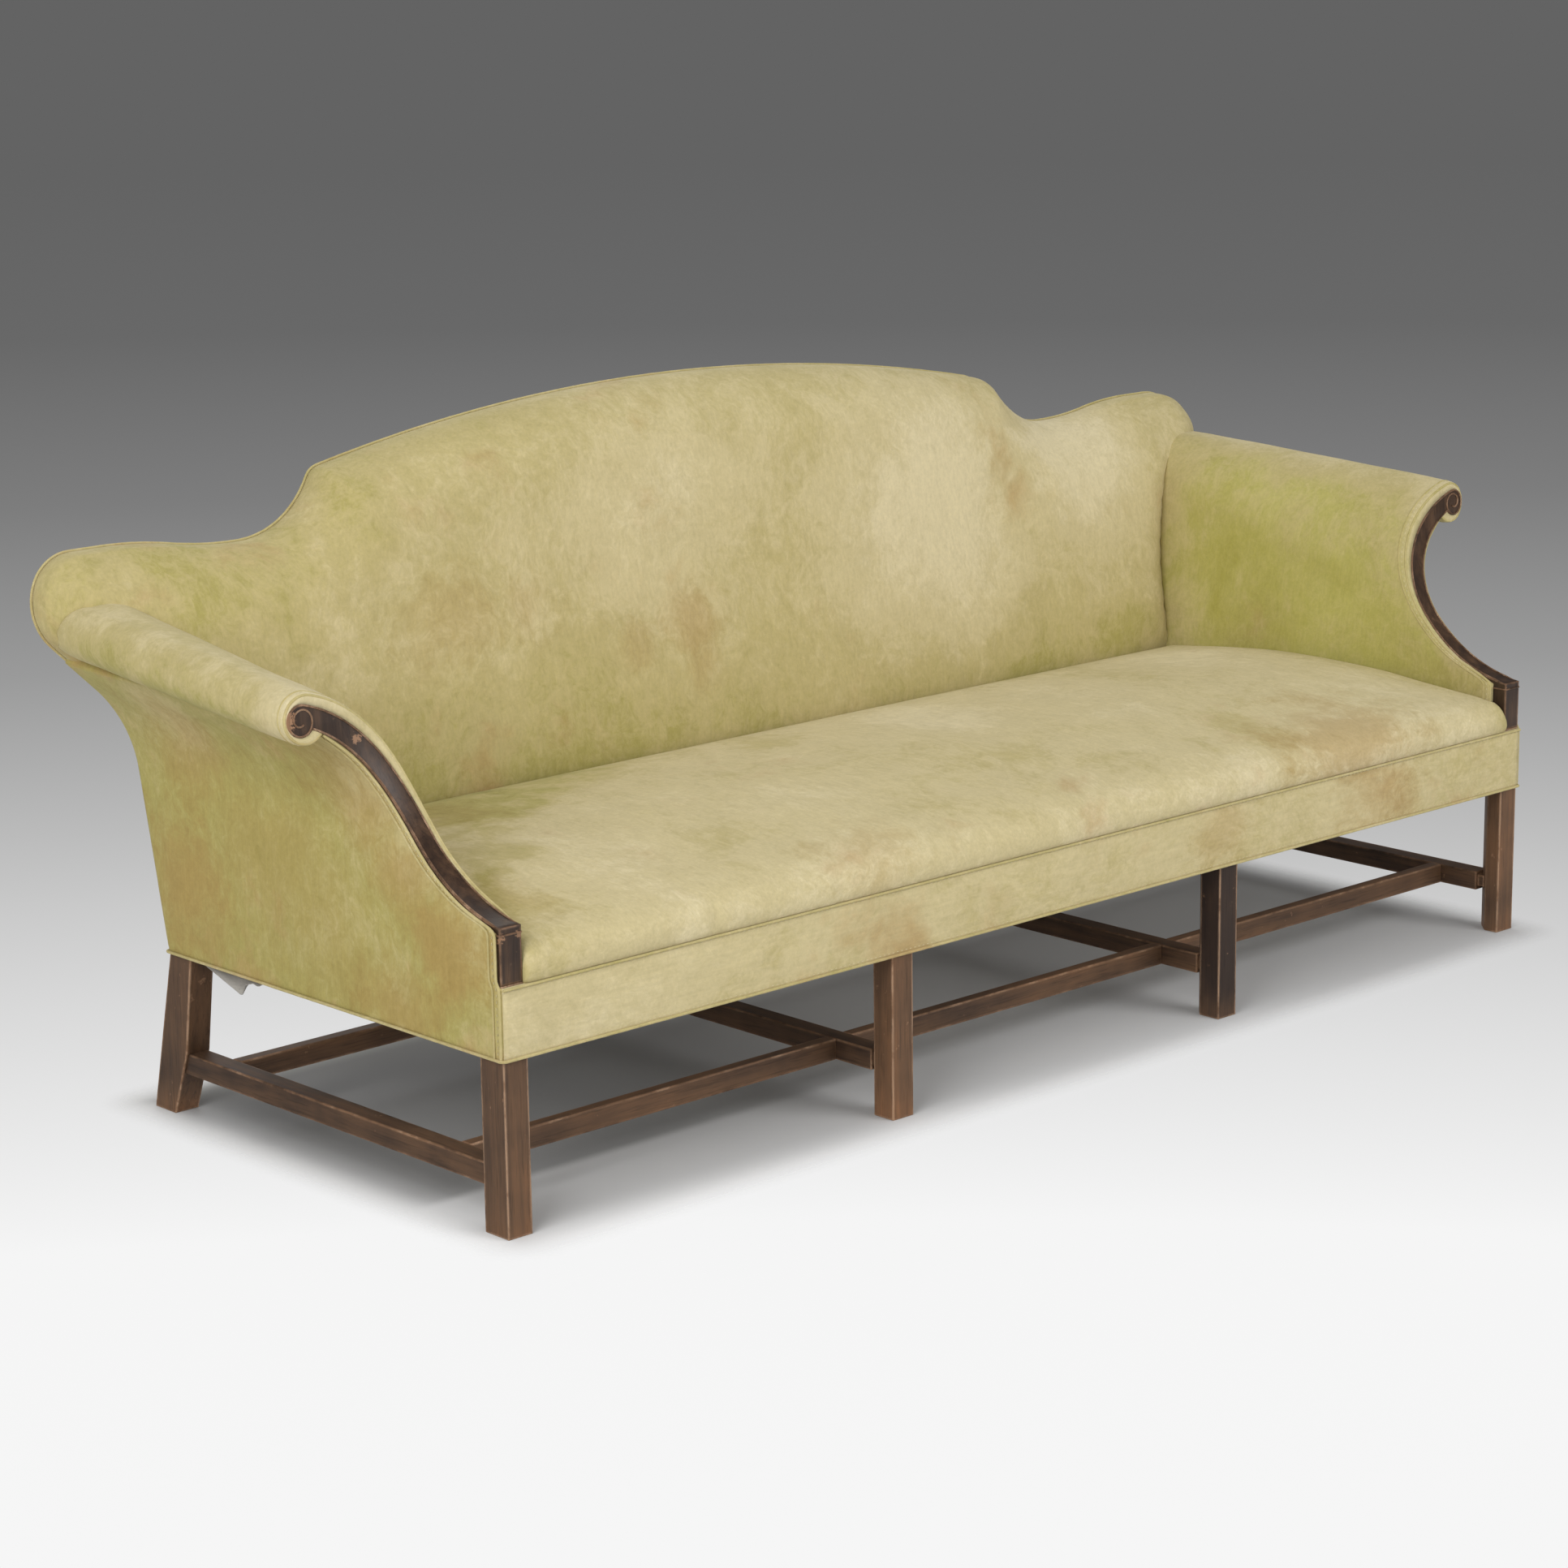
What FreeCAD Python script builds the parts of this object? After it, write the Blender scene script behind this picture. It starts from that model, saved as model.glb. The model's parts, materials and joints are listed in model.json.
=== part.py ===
import FreeCAD, Part
import Sketcher
import math
import os

# Camelback sofa. X runs along its length, Y from front to back, Z up.
# The origin lies on the floor, under the middle of the whole sofa.

doc = FreeCAD.newDocument("CamelbackSofa")
sizes = doc.addObject("Spreadsheet::Sheet", "Sizes")

drivingSizes = [
    # legs and stretchers
    ("legPitch", 700, "spacing of the legs along the length"),
    ("legWidth", 40, "width of every leg"),
    ("frontLegDepth", 48, "depth of a front leg"),
    ("endLegChamfer", 22, "chamfer on the inner back corner of an end leg"),
    ("middleLegChamfer", 10, "chamfer on both back corners of a middle leg"),
    ("legTenon", 12, "thickness of the tenon on top of a middle leg"),
    ("legTenonHeight", 50, "height of that tenon"),
    ("rearLegDepth", 50, "depth of a rear leg where it meets the rail"),
    ("rearFootSplay", 57, "how far the back of the rear foot stands behind the frame"),
    ("rearAnkleSetback", 22, "how far the front of the rear leg runs back at stretcher height"),
    ("stretcherBottom", 64, "height of the underside of the stretchers"),
    ("stretcherHeight", 31, "height of a stretcher's section"),
    ("crossStretcherWidth", 32, "width of a front-to-back stretcher"),
    ("longStretcherWidth", 20, "thickness of a lengthwise stretcher"),
    ("frontStretcherSetback", 120, "front stretcher behind the face of the front legs"),
    ("rearStretcherSetback", 640, "rear stretcher behind the face of the front legs"),
    ("stretcherTenon", 12, "length of a stretcher's tenon"),
    ("tenonShoulder", 6, "shoulder round a stretcher's tenon"),
    # seat frame
    ("railBottom", 244, "height of the underside of the seat rails"),
    ("railHeight", 86, "height of a seat rail"),
    ("railThickness", 28, "thickness of a seat rail"),
    ("crossRailInset", 8, "cross rails inside the seat rails, top and bottom"),
    ("frameDepth", 750, "front face of the front legs to the back of the frame at the rail"),
    ("bandTop", 340, "height of the welt along the top of the front band"),
    ("cornerBlockSide", 70, "side of a corner block"),
    # back
    ("backRake", 12, "rake of the back in degrees"),
    ("backThickness", 100, "thickness of the upholstered back, square to its face"),
    ("backFrameThickness", 32, "thickness of the timbers in the back"),
    ("earHeight", 811, "height of the top of the ear"),
    ("earRadius", 74, "radius of the ear"),
    ("earReach", 128, "how far the ear stands out past the end of the frame"),
    ("crestRise", 139, "middle of the hump above the ear"),
    ("shoulderRise", 72, "end of the hump above the ear"),
    ("shoulderRadius", 34, "rounding of the shoulder of the hump"),
    ("dipDrop", 20, "bottom of the hollow beside the hump below the ear"),
    ("dipRadius", 170, "radius of the hollow on its side towards the hump"),
    ("dipSetback", 225, "bottom of the hollow from the end of the frame"),
    ("sideSweepRadius", 173, "radius of the outer sweep of the back"),
    ("earTopStart", 0, "where the level top of the ear starts, outside the end of the frame"),
    ("earTimberDepth", 181, "depth of the timber in the ear below its top"),
    ("crestRailDepth", 75, "depth of the crest rail below the outline"),
    ("tackingRailHeight", 40, "height of the tacking rails"),
    ("backRailHeight", 410, "height of the underside of the back's tacking rail"),
    # arms
    ("armSweepHeight", 500, "height where the arm starts to sweep outwards"),
    ("armSweepRadius", 173, "radius of the outer sweep of the arm facing"),
    ("facingWidth", 30, "width of the facing along its sweep"),
    ("facingFootWidth", 35, "width of the facing near its foot"),
    ("facingFootHeight", 440, "height where the facing reaches its foot width"),
    ("facingThickness", 20, "thickness of the facing, front to back"),
    ("facingShows", 12, "how much of that thickness is left uncovered at the side"),
    ("scrollAngle", 105.5, "angle round the sweep where the scroll sits, in degrees"),
    ("scrollRadius", 22, "radius of the scroll"),
    ("frontSweepRadius", 273, "radius of the hollow front of the arm, seen from the side"),
    ("frontSweepHeight", 690, "height of the centre of that hollow"),
    ("frontSweepAhead", 35, "centre of that hollow ahead of the front legs"),
    ("blockHeight", 67, "height of the square block at the foot of the facing"),
    ("blockDepth", 30, "depth of that block"),
    ("blockRaise", 3, "underside of that block above the welt"),
    ("stumpThickness", 30, "thickness of the post behind the facing"),
    ("stumpInset", 8, "edges of that post inside the facing's edges"),
    ("frontStation", 180, "where the front section of the arm is drawn, behind the front legs"),
    ("backStation", 850, "where the back section of the arm is drawn"),
    ("frontFootInset", 14, "front section: inner face at the seat, inside the end legs"),
    ("backFootInset", 56, "back section: the same"),
    ("facingPadProud", 10, "front section: stuffed face inside the inner edge of the facing"),
    ("frontRollRadius", 34, "front section: radius of the roll"),
    ("frontTurnAngle", 107, "front section: angle round the sweep where the roll lies"),
    ("frontSeamAngle", -148, "front section: angle round the roll where its cover ends"),
    ("frontNeckAngle", 128, "front section: angle round the sweep where the outside runs straight"),
    ("frontSeamShort", 4.4, "front section: outside cover ends short of the seam under the roll"),
    ("backTurnInset", 30, "back section: inner face where it starts to turn out, inside the frame"),
    ("backTurnDrop", 118, "back section: height of that place, below the ear"),
    ("backTurnBulge", 28, "back section: bulge of the turn above its chord"),
    ("backRollInset", 50, "back section: centre of the roll inside the reach of the ear"),
    ("backRollDrop", 98, "back section: height of that centre, below the ear"),
    ("backRollRadius", 38, "back section: radius of the roll"),
    ("backTurnAngle", 93, "back section: angle round the roll where the turn meets it"),
    ("backSeamAngle", -80, "back section: angle round the roll where its cover ends"),
    ("backSeamShort", 28, "back section: outside cover ends short of the round of the ear"),
    ("armPadThickness", 16, "thickness of the stuffing on the arm"),
    ("armStations", 10, "number of bays in which the arm is drawn from front to back"),
    ("tackingRailEase", 4, "tacking rail of the arm inside its hessian"),
    # seat
    ("seatNose", 14, "how far the front of the seat bulges ahead of the legs"),
    ("seatNoseHeight", 362, "height of that bulge"),
    ("seatEdgeSetback", 12.5, "where the round of the nose ends, behind the front legs"),
    ("seatEdgeHeight", 392, "height of the seat just behind its front edge"),
    ("seatCrownHeight", 428, "height of the crown of the seat"),
    ("seatCrownSetback", 330, "crown of the seat behind the front legs"),
    ("seatBackHeight", 402, "height of the seat where it meets the back"),
    ("seatUnderside", 336, "height of the underside of the seat stuffing"),
    # cloth and small things
    ("coverThickness", 2.5, "thickness of the velvet cover"),
    ("clearance", 0.3, "gap between a soft piece and its neighbour"),
    ("hemDrop", 3, "how far the cover reaches below the rails"),
    ("hessianThickness", 1, "thickness of hessian, sackcloth and dust cover"),
    ("webWidth", 50, "width of a strap of webbing"),
    ("webSpacing", 80, "spacing of the straps"),
    ("webThickness", 0.9, "thickness of a strap"),
    ("pipingRadius", 2.5, "radius of the piping"),
    ("tackRadius", 4, "radius of a tack's head"),
    ("tackSpacing", 70, "spacing of the tacks"),
    ("facingScrews", 3, "screws through each arm post into its facing"),
    ("screwAbove", 18, "height of the lowest of them above the foot of the facing"),
    ("screwSpacing", 60, "height from one screw to the next"),
    ("screwRadius", 3, "radius of a facing screw"),
    ("screwLength", 34, "length of a facing screw"),
]

for row, (alias, number, note) in enumerate(drivingSizes, start=1):
    sizes.set("A%d" % row, note)
    sizes.set("B%d" % row, str(number))
    sizes.setAlias("B%d" % row, alias)
doc.recompute()

size = {alias: float(sizes.get(alias)) for alias, number, note in drivingSizes}
parts = {}

# Expressions that many pieces share.
halfLength = "(1.5 * Sizes.legPitch + Sizes.legWidth / 2)"
crestTop = "(Sizes.earHeight + Sizes.crestRise)"
dipBottom = "(Sizes.earHeight - Sizes.dipDrop)"
backReach = ("(Sizes.frameDepth + (" + crestTop + " - Sizes.railBottom) * tan(Sizes.backRake)"
             " + (Sizes.coverThickness + Sizes.clearance) / cos(Sizes.backRake))")
frontY = "((Sizes.seatNose - %s) / 2)" % backReach
railTop = "(Sizes.railBottom + Sizes.railHeight)"
stretcherTop = "(Sizes.stretcherBottom + Sizes.stretcherHeight)"
legPlaces = [("left_end", -1.5), ("left_middle", -0.5), ("right_middle", 0.5), ("right_end", 1.5)]
bays = [("left", -1), ("middle", 0), ("right", 1)]


def valueOf(expression):
    """The number that an expression on the sheet gives."""
    return float(sizes.evalExpression(expression))


half = valueOf(halfLength)
crest = valueOf(crestTop)
dip = valueOf(dipBottom)
front = valueOf(frontY)
cloth = size["coverThickness"]
gap = size["clearance"]
beyond = 2 * half + 2 * size["frameDepth"]
mirrorLine = (FreeCAD.Vector(0, 0, 0), FreeCAD.Vector(1, 0, 0))


def keep(obj, label):
    """Label an object and list it as a sub-part."""
    obj.Label = label
    parts[label] = obj
    return obj


def bind(obj, **expressions):
    """Tie properties of an object to the sheet. An underscore stands for a dot."""
    for name, expression in expressions.items():
        obj.setExpression(name.replace("_", "."), expression)
    return obj


def block(name, x, y, z, length, width, height):
    """A box from its lowest corner, with y measured behind the face of the front legs."""
    obj = doc.addObject("Part::Box", name)
    return bind(obj, Length=length, Width=width, Height=height,
                Placement_Base_x=x, Placement_Base_y="%s + %s" % (frontY, y), Placement_Base_z=z)


def cut(name, base, tools):
    """Base with the tools taken away."""
    obj = doc.addObject("Part::Cut", name)
    obj.Base = base
    if len(tools) == 1:
        obj.Tool = tools[0]
    else:
        joined = doc.addObject("Part::Compound", name + "_tools")
        joined.Links = tools
        obj.Tool = joined
    return obj


def fuse(name, shapes):
    """Several shapes as one."""
    obj = doc.addObject("Part::MultiFuse", name)
    obj.Shapes = shapes
    obj.Refine = True
    return obj


def mirrored(label, source):
    """The right-hand copy of a left-hand piece."""
    obj = doc.addObject("Part::Mirroring", label)
    obj.Source = source
    obj.Base = FreeCAD.Vector(0, 0, 0)
    obj.Normal = FreeCAD.Vector(1, 0, 0)
    return keep(obj, label)


def originPlane(body, role):
    """One of a body's own origin planes."""
    return [plane for plane in body.Origin.OriginFeatures if plane.Role == role][0]


def outlineSketch(body, name, role, corners):
    """A closed outline of straight lines whose corners are tied to the sheet."""
    sketch = body.newObject("Sketcher::SketchObject", name)
    sketch.AttachmentSupport = [(originPlane(body, role), "")]
    sketch.MapMode = "FlatFace"
    points = [FreeCAD.Vector(valueOf(across), valueOf(up), 0) for across, up in corners]
    count = len(points)
    for i in range(count):
        sketch.addGeometry(Part.LineSegment(points[i], points[(i + 1) % count]), False)
    for i in range(count):
        sketch.addConstraint(Sketcher.Constraint("Coincident", i, 2, (i + 1) % count, 1))
    for i, (across, up) in enumerate(corners):
        for kind, axis, expression in (("DistanceX", -2, across), ("DistanceY", -1, up)):
            if expression == "0":
                sketch.addConstraint(Sketcher.Constraint("PointOnObject", i, 1, axis))
                continue
            value = points[i].x if kind == "DistanceX" else points[i].y
            index = sketch.addConstraint(Sketcher.Constraint(kind, -1, 1, i, 1, value))
            sketch.setExpression("Constraints[%d]" % index, expression)
    return sketch


def pad(body, name, sketch, length, both=False):
    """A pad along the sketch's normal, or to both sides of it."""
    feature = body.newObject("PartDesign::Pad", name)
    feature.Profile = sketch
    feature.Midplane = both
    feature.setExpression("Length", length)
    sketch.Visibility = False
    return feature


def solidOf(shape):
    """The one solid, or the compound of solids, that a boolean leaves."""
    refined = shape.removeSplitter()
    solids = refined.Solids if refined.isValid() else shape.Solids
    return solids[0] if len(solids) == 1 else Part.makeCompound(solids)


def feature(label, shape):
    """A sub-part whose shape comes from Part's own functions, in the sheet's sizes."""
    obj = doc.addObject("Part::Feature", label)
    obj.Shape = solidOf(shape)
    obj.Placement = FreeCAD.Placement(FreeCAD.Vector(0, front, 0), FreeCAD.Rotation())
    return keep(obj, label)


# Legs.

def frontLeg(place, step):
    """A square leg, chamfered at the back corners that face another leg."""
    atEnd = abs(step) > 1
    label = "front_leg_" + place
    body = doc.addObject("PartDesign::Body", label + "_body")
    left = "(%s * Sizes.legPitch - Sizes.legWidth / 2)" % step
    right = "(%s * Sizes.legPitch + Sizes.legWidth / 2)" % step
    back = "(%s + Sizes.frontLegDepth)" % frontY
    sketch = outlineSketch(body, label + "_outline", "XY_Plane",
                           [(left, frontY), (right, frontY), (right, back), (left, back)])
    height = "Sizes.bandTop + Sizes.blockRaise" if atEnd else "Sizes.railBottom"
    shaft = pad(body, label + "_shaft", sketch, height)
    doc.recompute()

    inner = [-step * half] if atEnd else [-half, half]
    edges = []
    for index, edge in enumerate(shaft.Shape.Edges, start=1):
        middle = edge.CenterOfMass
        upright = abs(edge.Vertexes[0].Z - edge.Vertexes[-1].Z) > size["legWidth"]
        atBack = middle.y > front + size["frontLegDepth"] / 2
        offset = middle.x - step * size["legPitch"]
        if upright and atBack and any(offset * side > 0 for side in inner):
            edges.append("Edge%d" % index)
    chamfer = body.newObject("PartDesign::Chamfer", label + "_chamfer")
    chamfer.Base = (shaft, edges)
    chamfer.setExpression("Size", "Sizes.endLegChamfer" if atEnd else "Sizes.middleLegChamfer")
    body.Tip = chamfer
    if atEnd:
        return body
    tenon = block(label + "_tenon", "%s * Sizes.legPitch - Sizes.legWidth / 4" % step,
                  "(Sizes.railThickness - Sizes.legTenon) / 2", "Sizes.railBottom",
                  "Sizes.legWidth / 2", "Sizes.legTenon", "Sizes.legTenonHeight")
    return fuse(label + "_whole", [body, tenon])


def rearLeg(place, step, topHeight):
    """A raked leg that runs on up as the post of the back."""
    label = "rear_leg_" + place
    body = doc.addObject("PartDesign::Body", label + "_body")
    frame = "(%s + Sizes.frameDepth)" % frontY
    legFront = "(%s - Sizes.rearLegDepth)" % frame
    postFront = "(%s - Sizes.backFrameThickness / cos(Sizes.backRake))" % frame
    rise = "(%s - Sizes.railBottom) * tan(Sizes.backRake)"
    top = topHeight
    corners = [
        ("%s + Sizes.rearFootSplay" % frame, "0"),
        (frame, "Sizes.railBottom - Sizes.hemDrop - Sizes.clearance"),
        (frame, "Sizes.railBottom"),
        (frame + " + " + rise % top, top),
        (postFront + " + " + rise % top, top),
        (postFront + " + " + rise % railTop, railTop),
        (legFront, railTop),
        (legFront, "Sizes.railBottom"),
        (legFront + " + Sizes.rearAnkleSetback", stretcherTop),
        (legFront + " + Sizes.rearFootSplay", "0"),
    ]
    sketch = outlineSketch(body, label + "_outline", "YZ_Plane", corners)
    shaft = pad(body, label + "_shaft", sketch, "Sizes.legWidth", both=True)
    body.Tip = shaft
    bind(body, Placement_Base_x="%s * Sizes.legPitch" % step)
    return body


frontLegs = {place: frontLeg(place, step) for place, step in legPlaces}
rearLegs = {}
for place, step in legPlaces:
    top = dipBottom if abs(step) > 1 else "(%s - Sizes.crestRailDepth / 2)" % crestTop
    rearLegs[place] = rearLeg(place, step, "(%s - Sizes.crestRailDepth / 2)" % top)
doc.recompute()

# Stretchers.

crossHalf = "Sizes.crossStretcherWidth / 2"


def longStretcher(label, bay, setback):
    """A lengthwise stretcher between two cross stretchers, with a tenon at each end."""
    left = "(%s - 0.5) * Sizes.legPitch + %s" % (bay, crossHalf)
    length = "(Sizes.legPitch - Sizes.crossStretcherWidth)"
    bar = block(label + "_bar", left, setback, "Sizes.stretcherBottom",
                length, "Sizes.longStretcherWidth", "Sizes.stretcherHeight")
    tenon = block(label + "_tenon", left + " - Sizes.stretcherTenon",
                  setback + " + Sizes.tenonShoulder", "Sizes.stretcherBottom + Sizes.tenonShoulder",
                  length + " + 2 * Sizes.stretcherTenon",
                  "Sizes.longStretcherWidth - 2 * Sizes.tenonShoulder",
                  "Sizes.stretcherHeight - 2 * Sizes.tenonShoulder")
    return keep(fuse(label, [bar, tenon]), label)


longStretchers = []
for bayName, bay in bays:
    longStretchers.append(longStretcher("front_stretcher_" + bayName, bay, "Sizes.frontStretcherSetback"))
    longStretchers.append(longStretcher("rear_stretcher_" + bayName, bay, "Sizes.rearStretcherSetback"))

crossStretchers = {}
for place, step in legPlaces:
    label = "cross_stretcher_" + place
    bar = block(label + "_bar", "%s * Sizes.legPitch - %s" % (step, crossHalf), "Sizes.frontLegDepth",
                "Sizes.stretcherBottom", "Sizes.crossStretcherWidth",
                "Sizes.frameDepth - Sizes.frontLegDepth", "Sizes.stretcherHeight")
    tenon = block(label + "_tenon", "%s * Sizes.legPitch - %s + Sizes.tenonShoulder" % (step, crossHalf),
                  "Sizes.frontLegDepth - Sizes.stretcherTenon",
                  "Sizes.stretcherBottom + Sizes.tenonShoulder",
                  "Sizes.crossStretcherWidth - 2 * Sizes.tenonShoulder", "2 * Sizes.stretcherTenon",
                  "Sizes.stretcherHeight - 2 * Sizes.tenonShoulder")
    whole = fuse(label + "_whole", [bar, tenon])
    crossStretchers[place] = keep(cut(label, whole, longStretchers + [rearLegs[place]]), label)

# Seat frame.

frontRailBlank = block("front_rail_blank", "-1.5 * Sizes.legPitch + Sizes.legWidth / 2", "0",
                       "Sizes.railBottom", "3 * Sizes.legPitch - Sizes.legWidth",
                       "Sizes.railThickness", "Sizes.railHeight")
keep(cut("front_rail", frontRailBlank, [frontLegs["left_middle"], frontLegs["right_middle"]]), "front_rail")

for bayName, bay in bays:
    label = "rear_rail_" + bayName
    rail = block(label, "(%s - 0.5) * Sizes.legPitch + Sizes.legWidth / 2" % bay,
                 "Sizes.frameDepth - Sizes.railThickness", "Sizes.railBottom",
                 "Sizes.legPitch - Sizes.legWidth", "Sizes.railThickness", "Sizes.railHeight")
    keep(rail, label)

leftRail = block("left_rail", "-" + halfLength, "Sizes.frontLegDepth", "Sizes.railBottom",
                 "Sizes.railThickness", "Sizes.frameDepth - Sizes.rearLegDepth - Sizes.frontLegDepth",
                 "Sizes.railHeight")
mirrored("right_rail", keep(leftRail, "left_rail"))

crossRail = block("left_cross_rail", "-0.5 * Sizes.legPitch - Sizes.railThickness / 2",
                  "Sizes.railThickness", "Sizes.railBottom + Sizes.crossRailInset",
                  "Sizes.railThickness",
                  "Sizes.frameDepth - Sizes.rearLegDepth - Sizes.railThickness",
                  "Sizes.railHeight - 2 * Sizes.crossRailInset")
mirrored("right_cross_rail", keep(crossRail, "left_cross_rail"))


def cornerBlock(alongY, atLegs):
    """One three-cornered block, screwed into a corner of the seat frame."""
    inX = -half + size["railThickness"]
    tip = FreeCAD.Vector(inX, atLegs, size["railBottom"] + size["crossRailInset"])
    side = size["cornerBlockSide"]
    corners = [tip, tip + FreeCAD.Vector(side, 0, 0), tip + FreeCAD.Vector(0, alongY * side, 0), tip]
    face = Part.Face(Part.makePolygon(corners))
    return face.extrude(FreeCAD.Vector(0, 0, size["railHeight"] - 2 * size["crossRailInset"]))


cornerShapes = [cornerBlock(1, size["frontLegDepth"]),
                cornerBlock(-1, size["frameDepth"] - size["rearLegDepth"])]
cornerShapes += [shape.mirror(*mirrorLine) for shape in cornerShapes]
feature("corner_blocks", Part.makeCompound(cornerShapes))

# Shapes that the arms and back share.
# From here on y is measured behind the face of the front legs, and the left arm is drawn.


def at(out, height, y=0.0):
    """A point outside the left end of the frame by `out`, at a height."""
    return FreeCAD.Vector(-half - out, y, height)


def around(centreOut, centreHeight, radius, degrees):
    """A point on a circle drawn in the plane of the arm's section."""
    turn = math.radians(degrees)
    return at(centreOut + radius * math.cos(turn), centreHeight + radius * math.sin(turn))


def arc(centreOut, centreHeight, radius, start, end):
    """An arc in the plane of the arm's section, between two angles in degrees."""
    stations = (start, (start + end) / 2, end)
    return Part.Arc(*[around(centreOut, centreHeight, radius, turn) for turn in stations]).toShape()


def line(first, last):
    return Part.LineSegment(first, last).toShape()


def joined(edges):
    """A face inside a closed run of edges, given in order; short gaps are closed by lines."""
    run = []
    for edge in edges:
        if run and (run[-1][1] - edge[0]).Length > 1e-6:
            run.append((run[-1][1], edge[0], line(run[-1][1], edge[0])))
        run.append(edge)
    if (run[-1][1] - run[0][0]).Length > 1e-6:
        run.append((run[-1][1], run[0][0], line(run[-1][1], run[0][0])))
    return Part.Face(Part.Wire([item[2] for item in run]))


def stroke(first, last):
    """A straight edge with its ends."""
    return (first, last, line(first, last))


def sweep(centreOut, centreHeight, radius, start, end):
    """A round edge with its ends."""
    ends = [around(centreOut, centreHeight, radius, turn) for turn in (start, end)]
    return (ends[0], ends[1], arc(centreOut, centreHeight, radius, start, end))


def runBack(face, start, length):
    """A face in the arm's section, drawn out towards the back of the sofa."""
    return face.translated(FreeCAD.Vector(0, start, 0)).extrude(FreeCAD.Vector(0, length, 0))


def crossBar(radius):
    """A cylinder along X about the centre of the left arm's hollow front."""
    centre = FreeCAD.Vector(-beyond, -size["frontSweepAhead"], size["frontSweepHeight"])
    return Part.makeCylinder(radius, beyond, centre, FreeCAD.Vector(1, 0, 0))


def slab(near, far=beyond):
    """A layer of the back, between two distances inside its raked rear face."""
    layer = Part.makeBox(2 * beyond, far - near, 2 * beyond, FreeCAD.Vector(-beyond, -far, -beyond))
    layer.rotate(FreeCAD.Vector(0, 0, 0), FreeCAD.Vector(1, 0, 0), -size["backRake"])
    layer.translate(FreeCAD.Vector(0, size["frameDepth"], size["railBottom"]))
    return layer


def above(height):
    """Everything higher than a height."""
    return Part.makeBox(2 * beyond, 2 * beyond, beyond, FreeCAD.Vector(-beyond, -beyond, height))


frontOfBack = slab(size["backThickness"] + gap)
clearOfFacing = size["frontSweepRadius"] + size["facingThickness"] + gap
floorOfSeat = size["seatUnderside"]

# Arm facings and their posts.

sweepCentre = (size["armSweepRadius"], size["armSweepHeight"])
scrollCentre = (size["armSweepRadius"] + size["facingWidth"] - size["scrollRadius"])


def facingBand(inset, low):
    """The facing seen from the front, with its edges moved in by an inset."""
    outer = size["armSweepRadius"] + inset
    inner = size["armSweepRadius"] + size["facingWidth"] - inset
    footIn = inset - size["facingFootWidth"]
    turn = size["scrollAngle"]
    return joined([
        stroke(at(-inset, low), at(-inset, size["armSweepHeight"])),
        sweep(*sweepCentre, outer, 180, turn),
        sweep(*sweepCentre, inner, turn, 180),
        stroke(at(size["armSweepRadius"] - inner, size["armSweepHeight"]),
               at(footIn, size["facingFootHeight"])),
        stroke(at(footIn, size["facingFootHeight"]), at(footIn, low)),
    ])


scrollAt = around(*sweepCentre, scrollCentre, size["scrollAngle"])
scroll = Part.makeCylinder(size["scrollRadius"], beyond, scrollAt, FreeCAD.Vector(0, 1, 0))
blockLow = size["bandTop"] + size["blockRaise"]
blockTop = blockLow + size["blockHeight"]

screwHeights = [size["facingFootHeight"] + size["screwAbove"] + i * size["screwSpacing"]
                for i in range(int(size["facingScrews"]))]


def screwAt(height):
    """A screw through the post into the back of the facing, square to the hollow front."""
    rise = size["frontSweepHeight"] - height
    radius = size["frontSweepRadius"] + size["facingThickness"] / 2
    ahead = math.sqrt(radius ** 2 - rise ** 2)
    centreRise = max(height - size["armSweepHeight"], 0.0)
    middle = size["armSweepRadius"] + size["facingWidth"] / 2
    out = size["armSweepRadius"] - math.sqrt(middle ** 2 - centreRise ** 2)
    direction = FreeCAD.Vector(0, ahead, -rise)
    start = at(out, height, ahead - size["frontSweepAhead"])
    return Part.makeCylinder(size["screwRadius"], size["screwLength"], start, direction)


screws = Part.makeCompound([screwAt(height) for height in screwHeights])

hollow = crossBar(size["frontSweepRadius"])
facingRing = crossBar(size["frontSweepRadius"] + size["facingThickness"]).cut(hollow)
facingBody = runBack(facingBand(0, blockTop - size["blockHeight"] / 2), 0, beyond).fuse(scroll)
facingFoot = Part.makeBox(size["facingFootWidth"], size["blockDepth"], size["blockHeight"],
                          at(0, blockLow))
facing = facingBody.common(facingRing).fuse(facingFoot).cut(screws)
mirrored("right_arm_facing", feature("left_arm_facing", facing))

stumpFoot = Part.makeBox(half, 2 * size["stumpThickness"], size["blockHeight"] + size["legWidth"],
                         FreeCAD.Vector(-half - size["legWidth"], size["frontLegDepth"],
                                        valueOf(railTop)))
stumpBlank = runBack(facingBand(size["stumpInset"], valueOf(railTop)), size["frontLegDepth"], beyond)
stumpHollow = crossBar(clearOfFacing - gap)
stumpRing = crossBar(clearOfFacing - gap + size["stumpThickness"]).cut(stumpHollow)
stump = stumpBlank.common(stumpRing).fuse(stumpBlank.common(stumpFoot).cut(stumpHollow)).cut(screws)
mirrored("right_arm_post", feature("left_arm_post", stump))

allScrews = screws.fuse(screws.mirror(*mirrorLine))
feature("facing_screws", allScrews)

# Arm upholstery.

def mixed(first, last, station):
    """A size at a station: 0 is the front section of the arm, 1 the back one."""
    return first + (last - first) * station


def stationAt(y):
    return (y - size["frontStation"]) / (size["backStation"] - size["frontStation"])


def footInset(station):
    """Inner face of the arm at the seat, inside the end of the frame."""
    return size["legWidth"] + mixed(size["frontFootInset"], size["backFootInset"], station)


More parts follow.
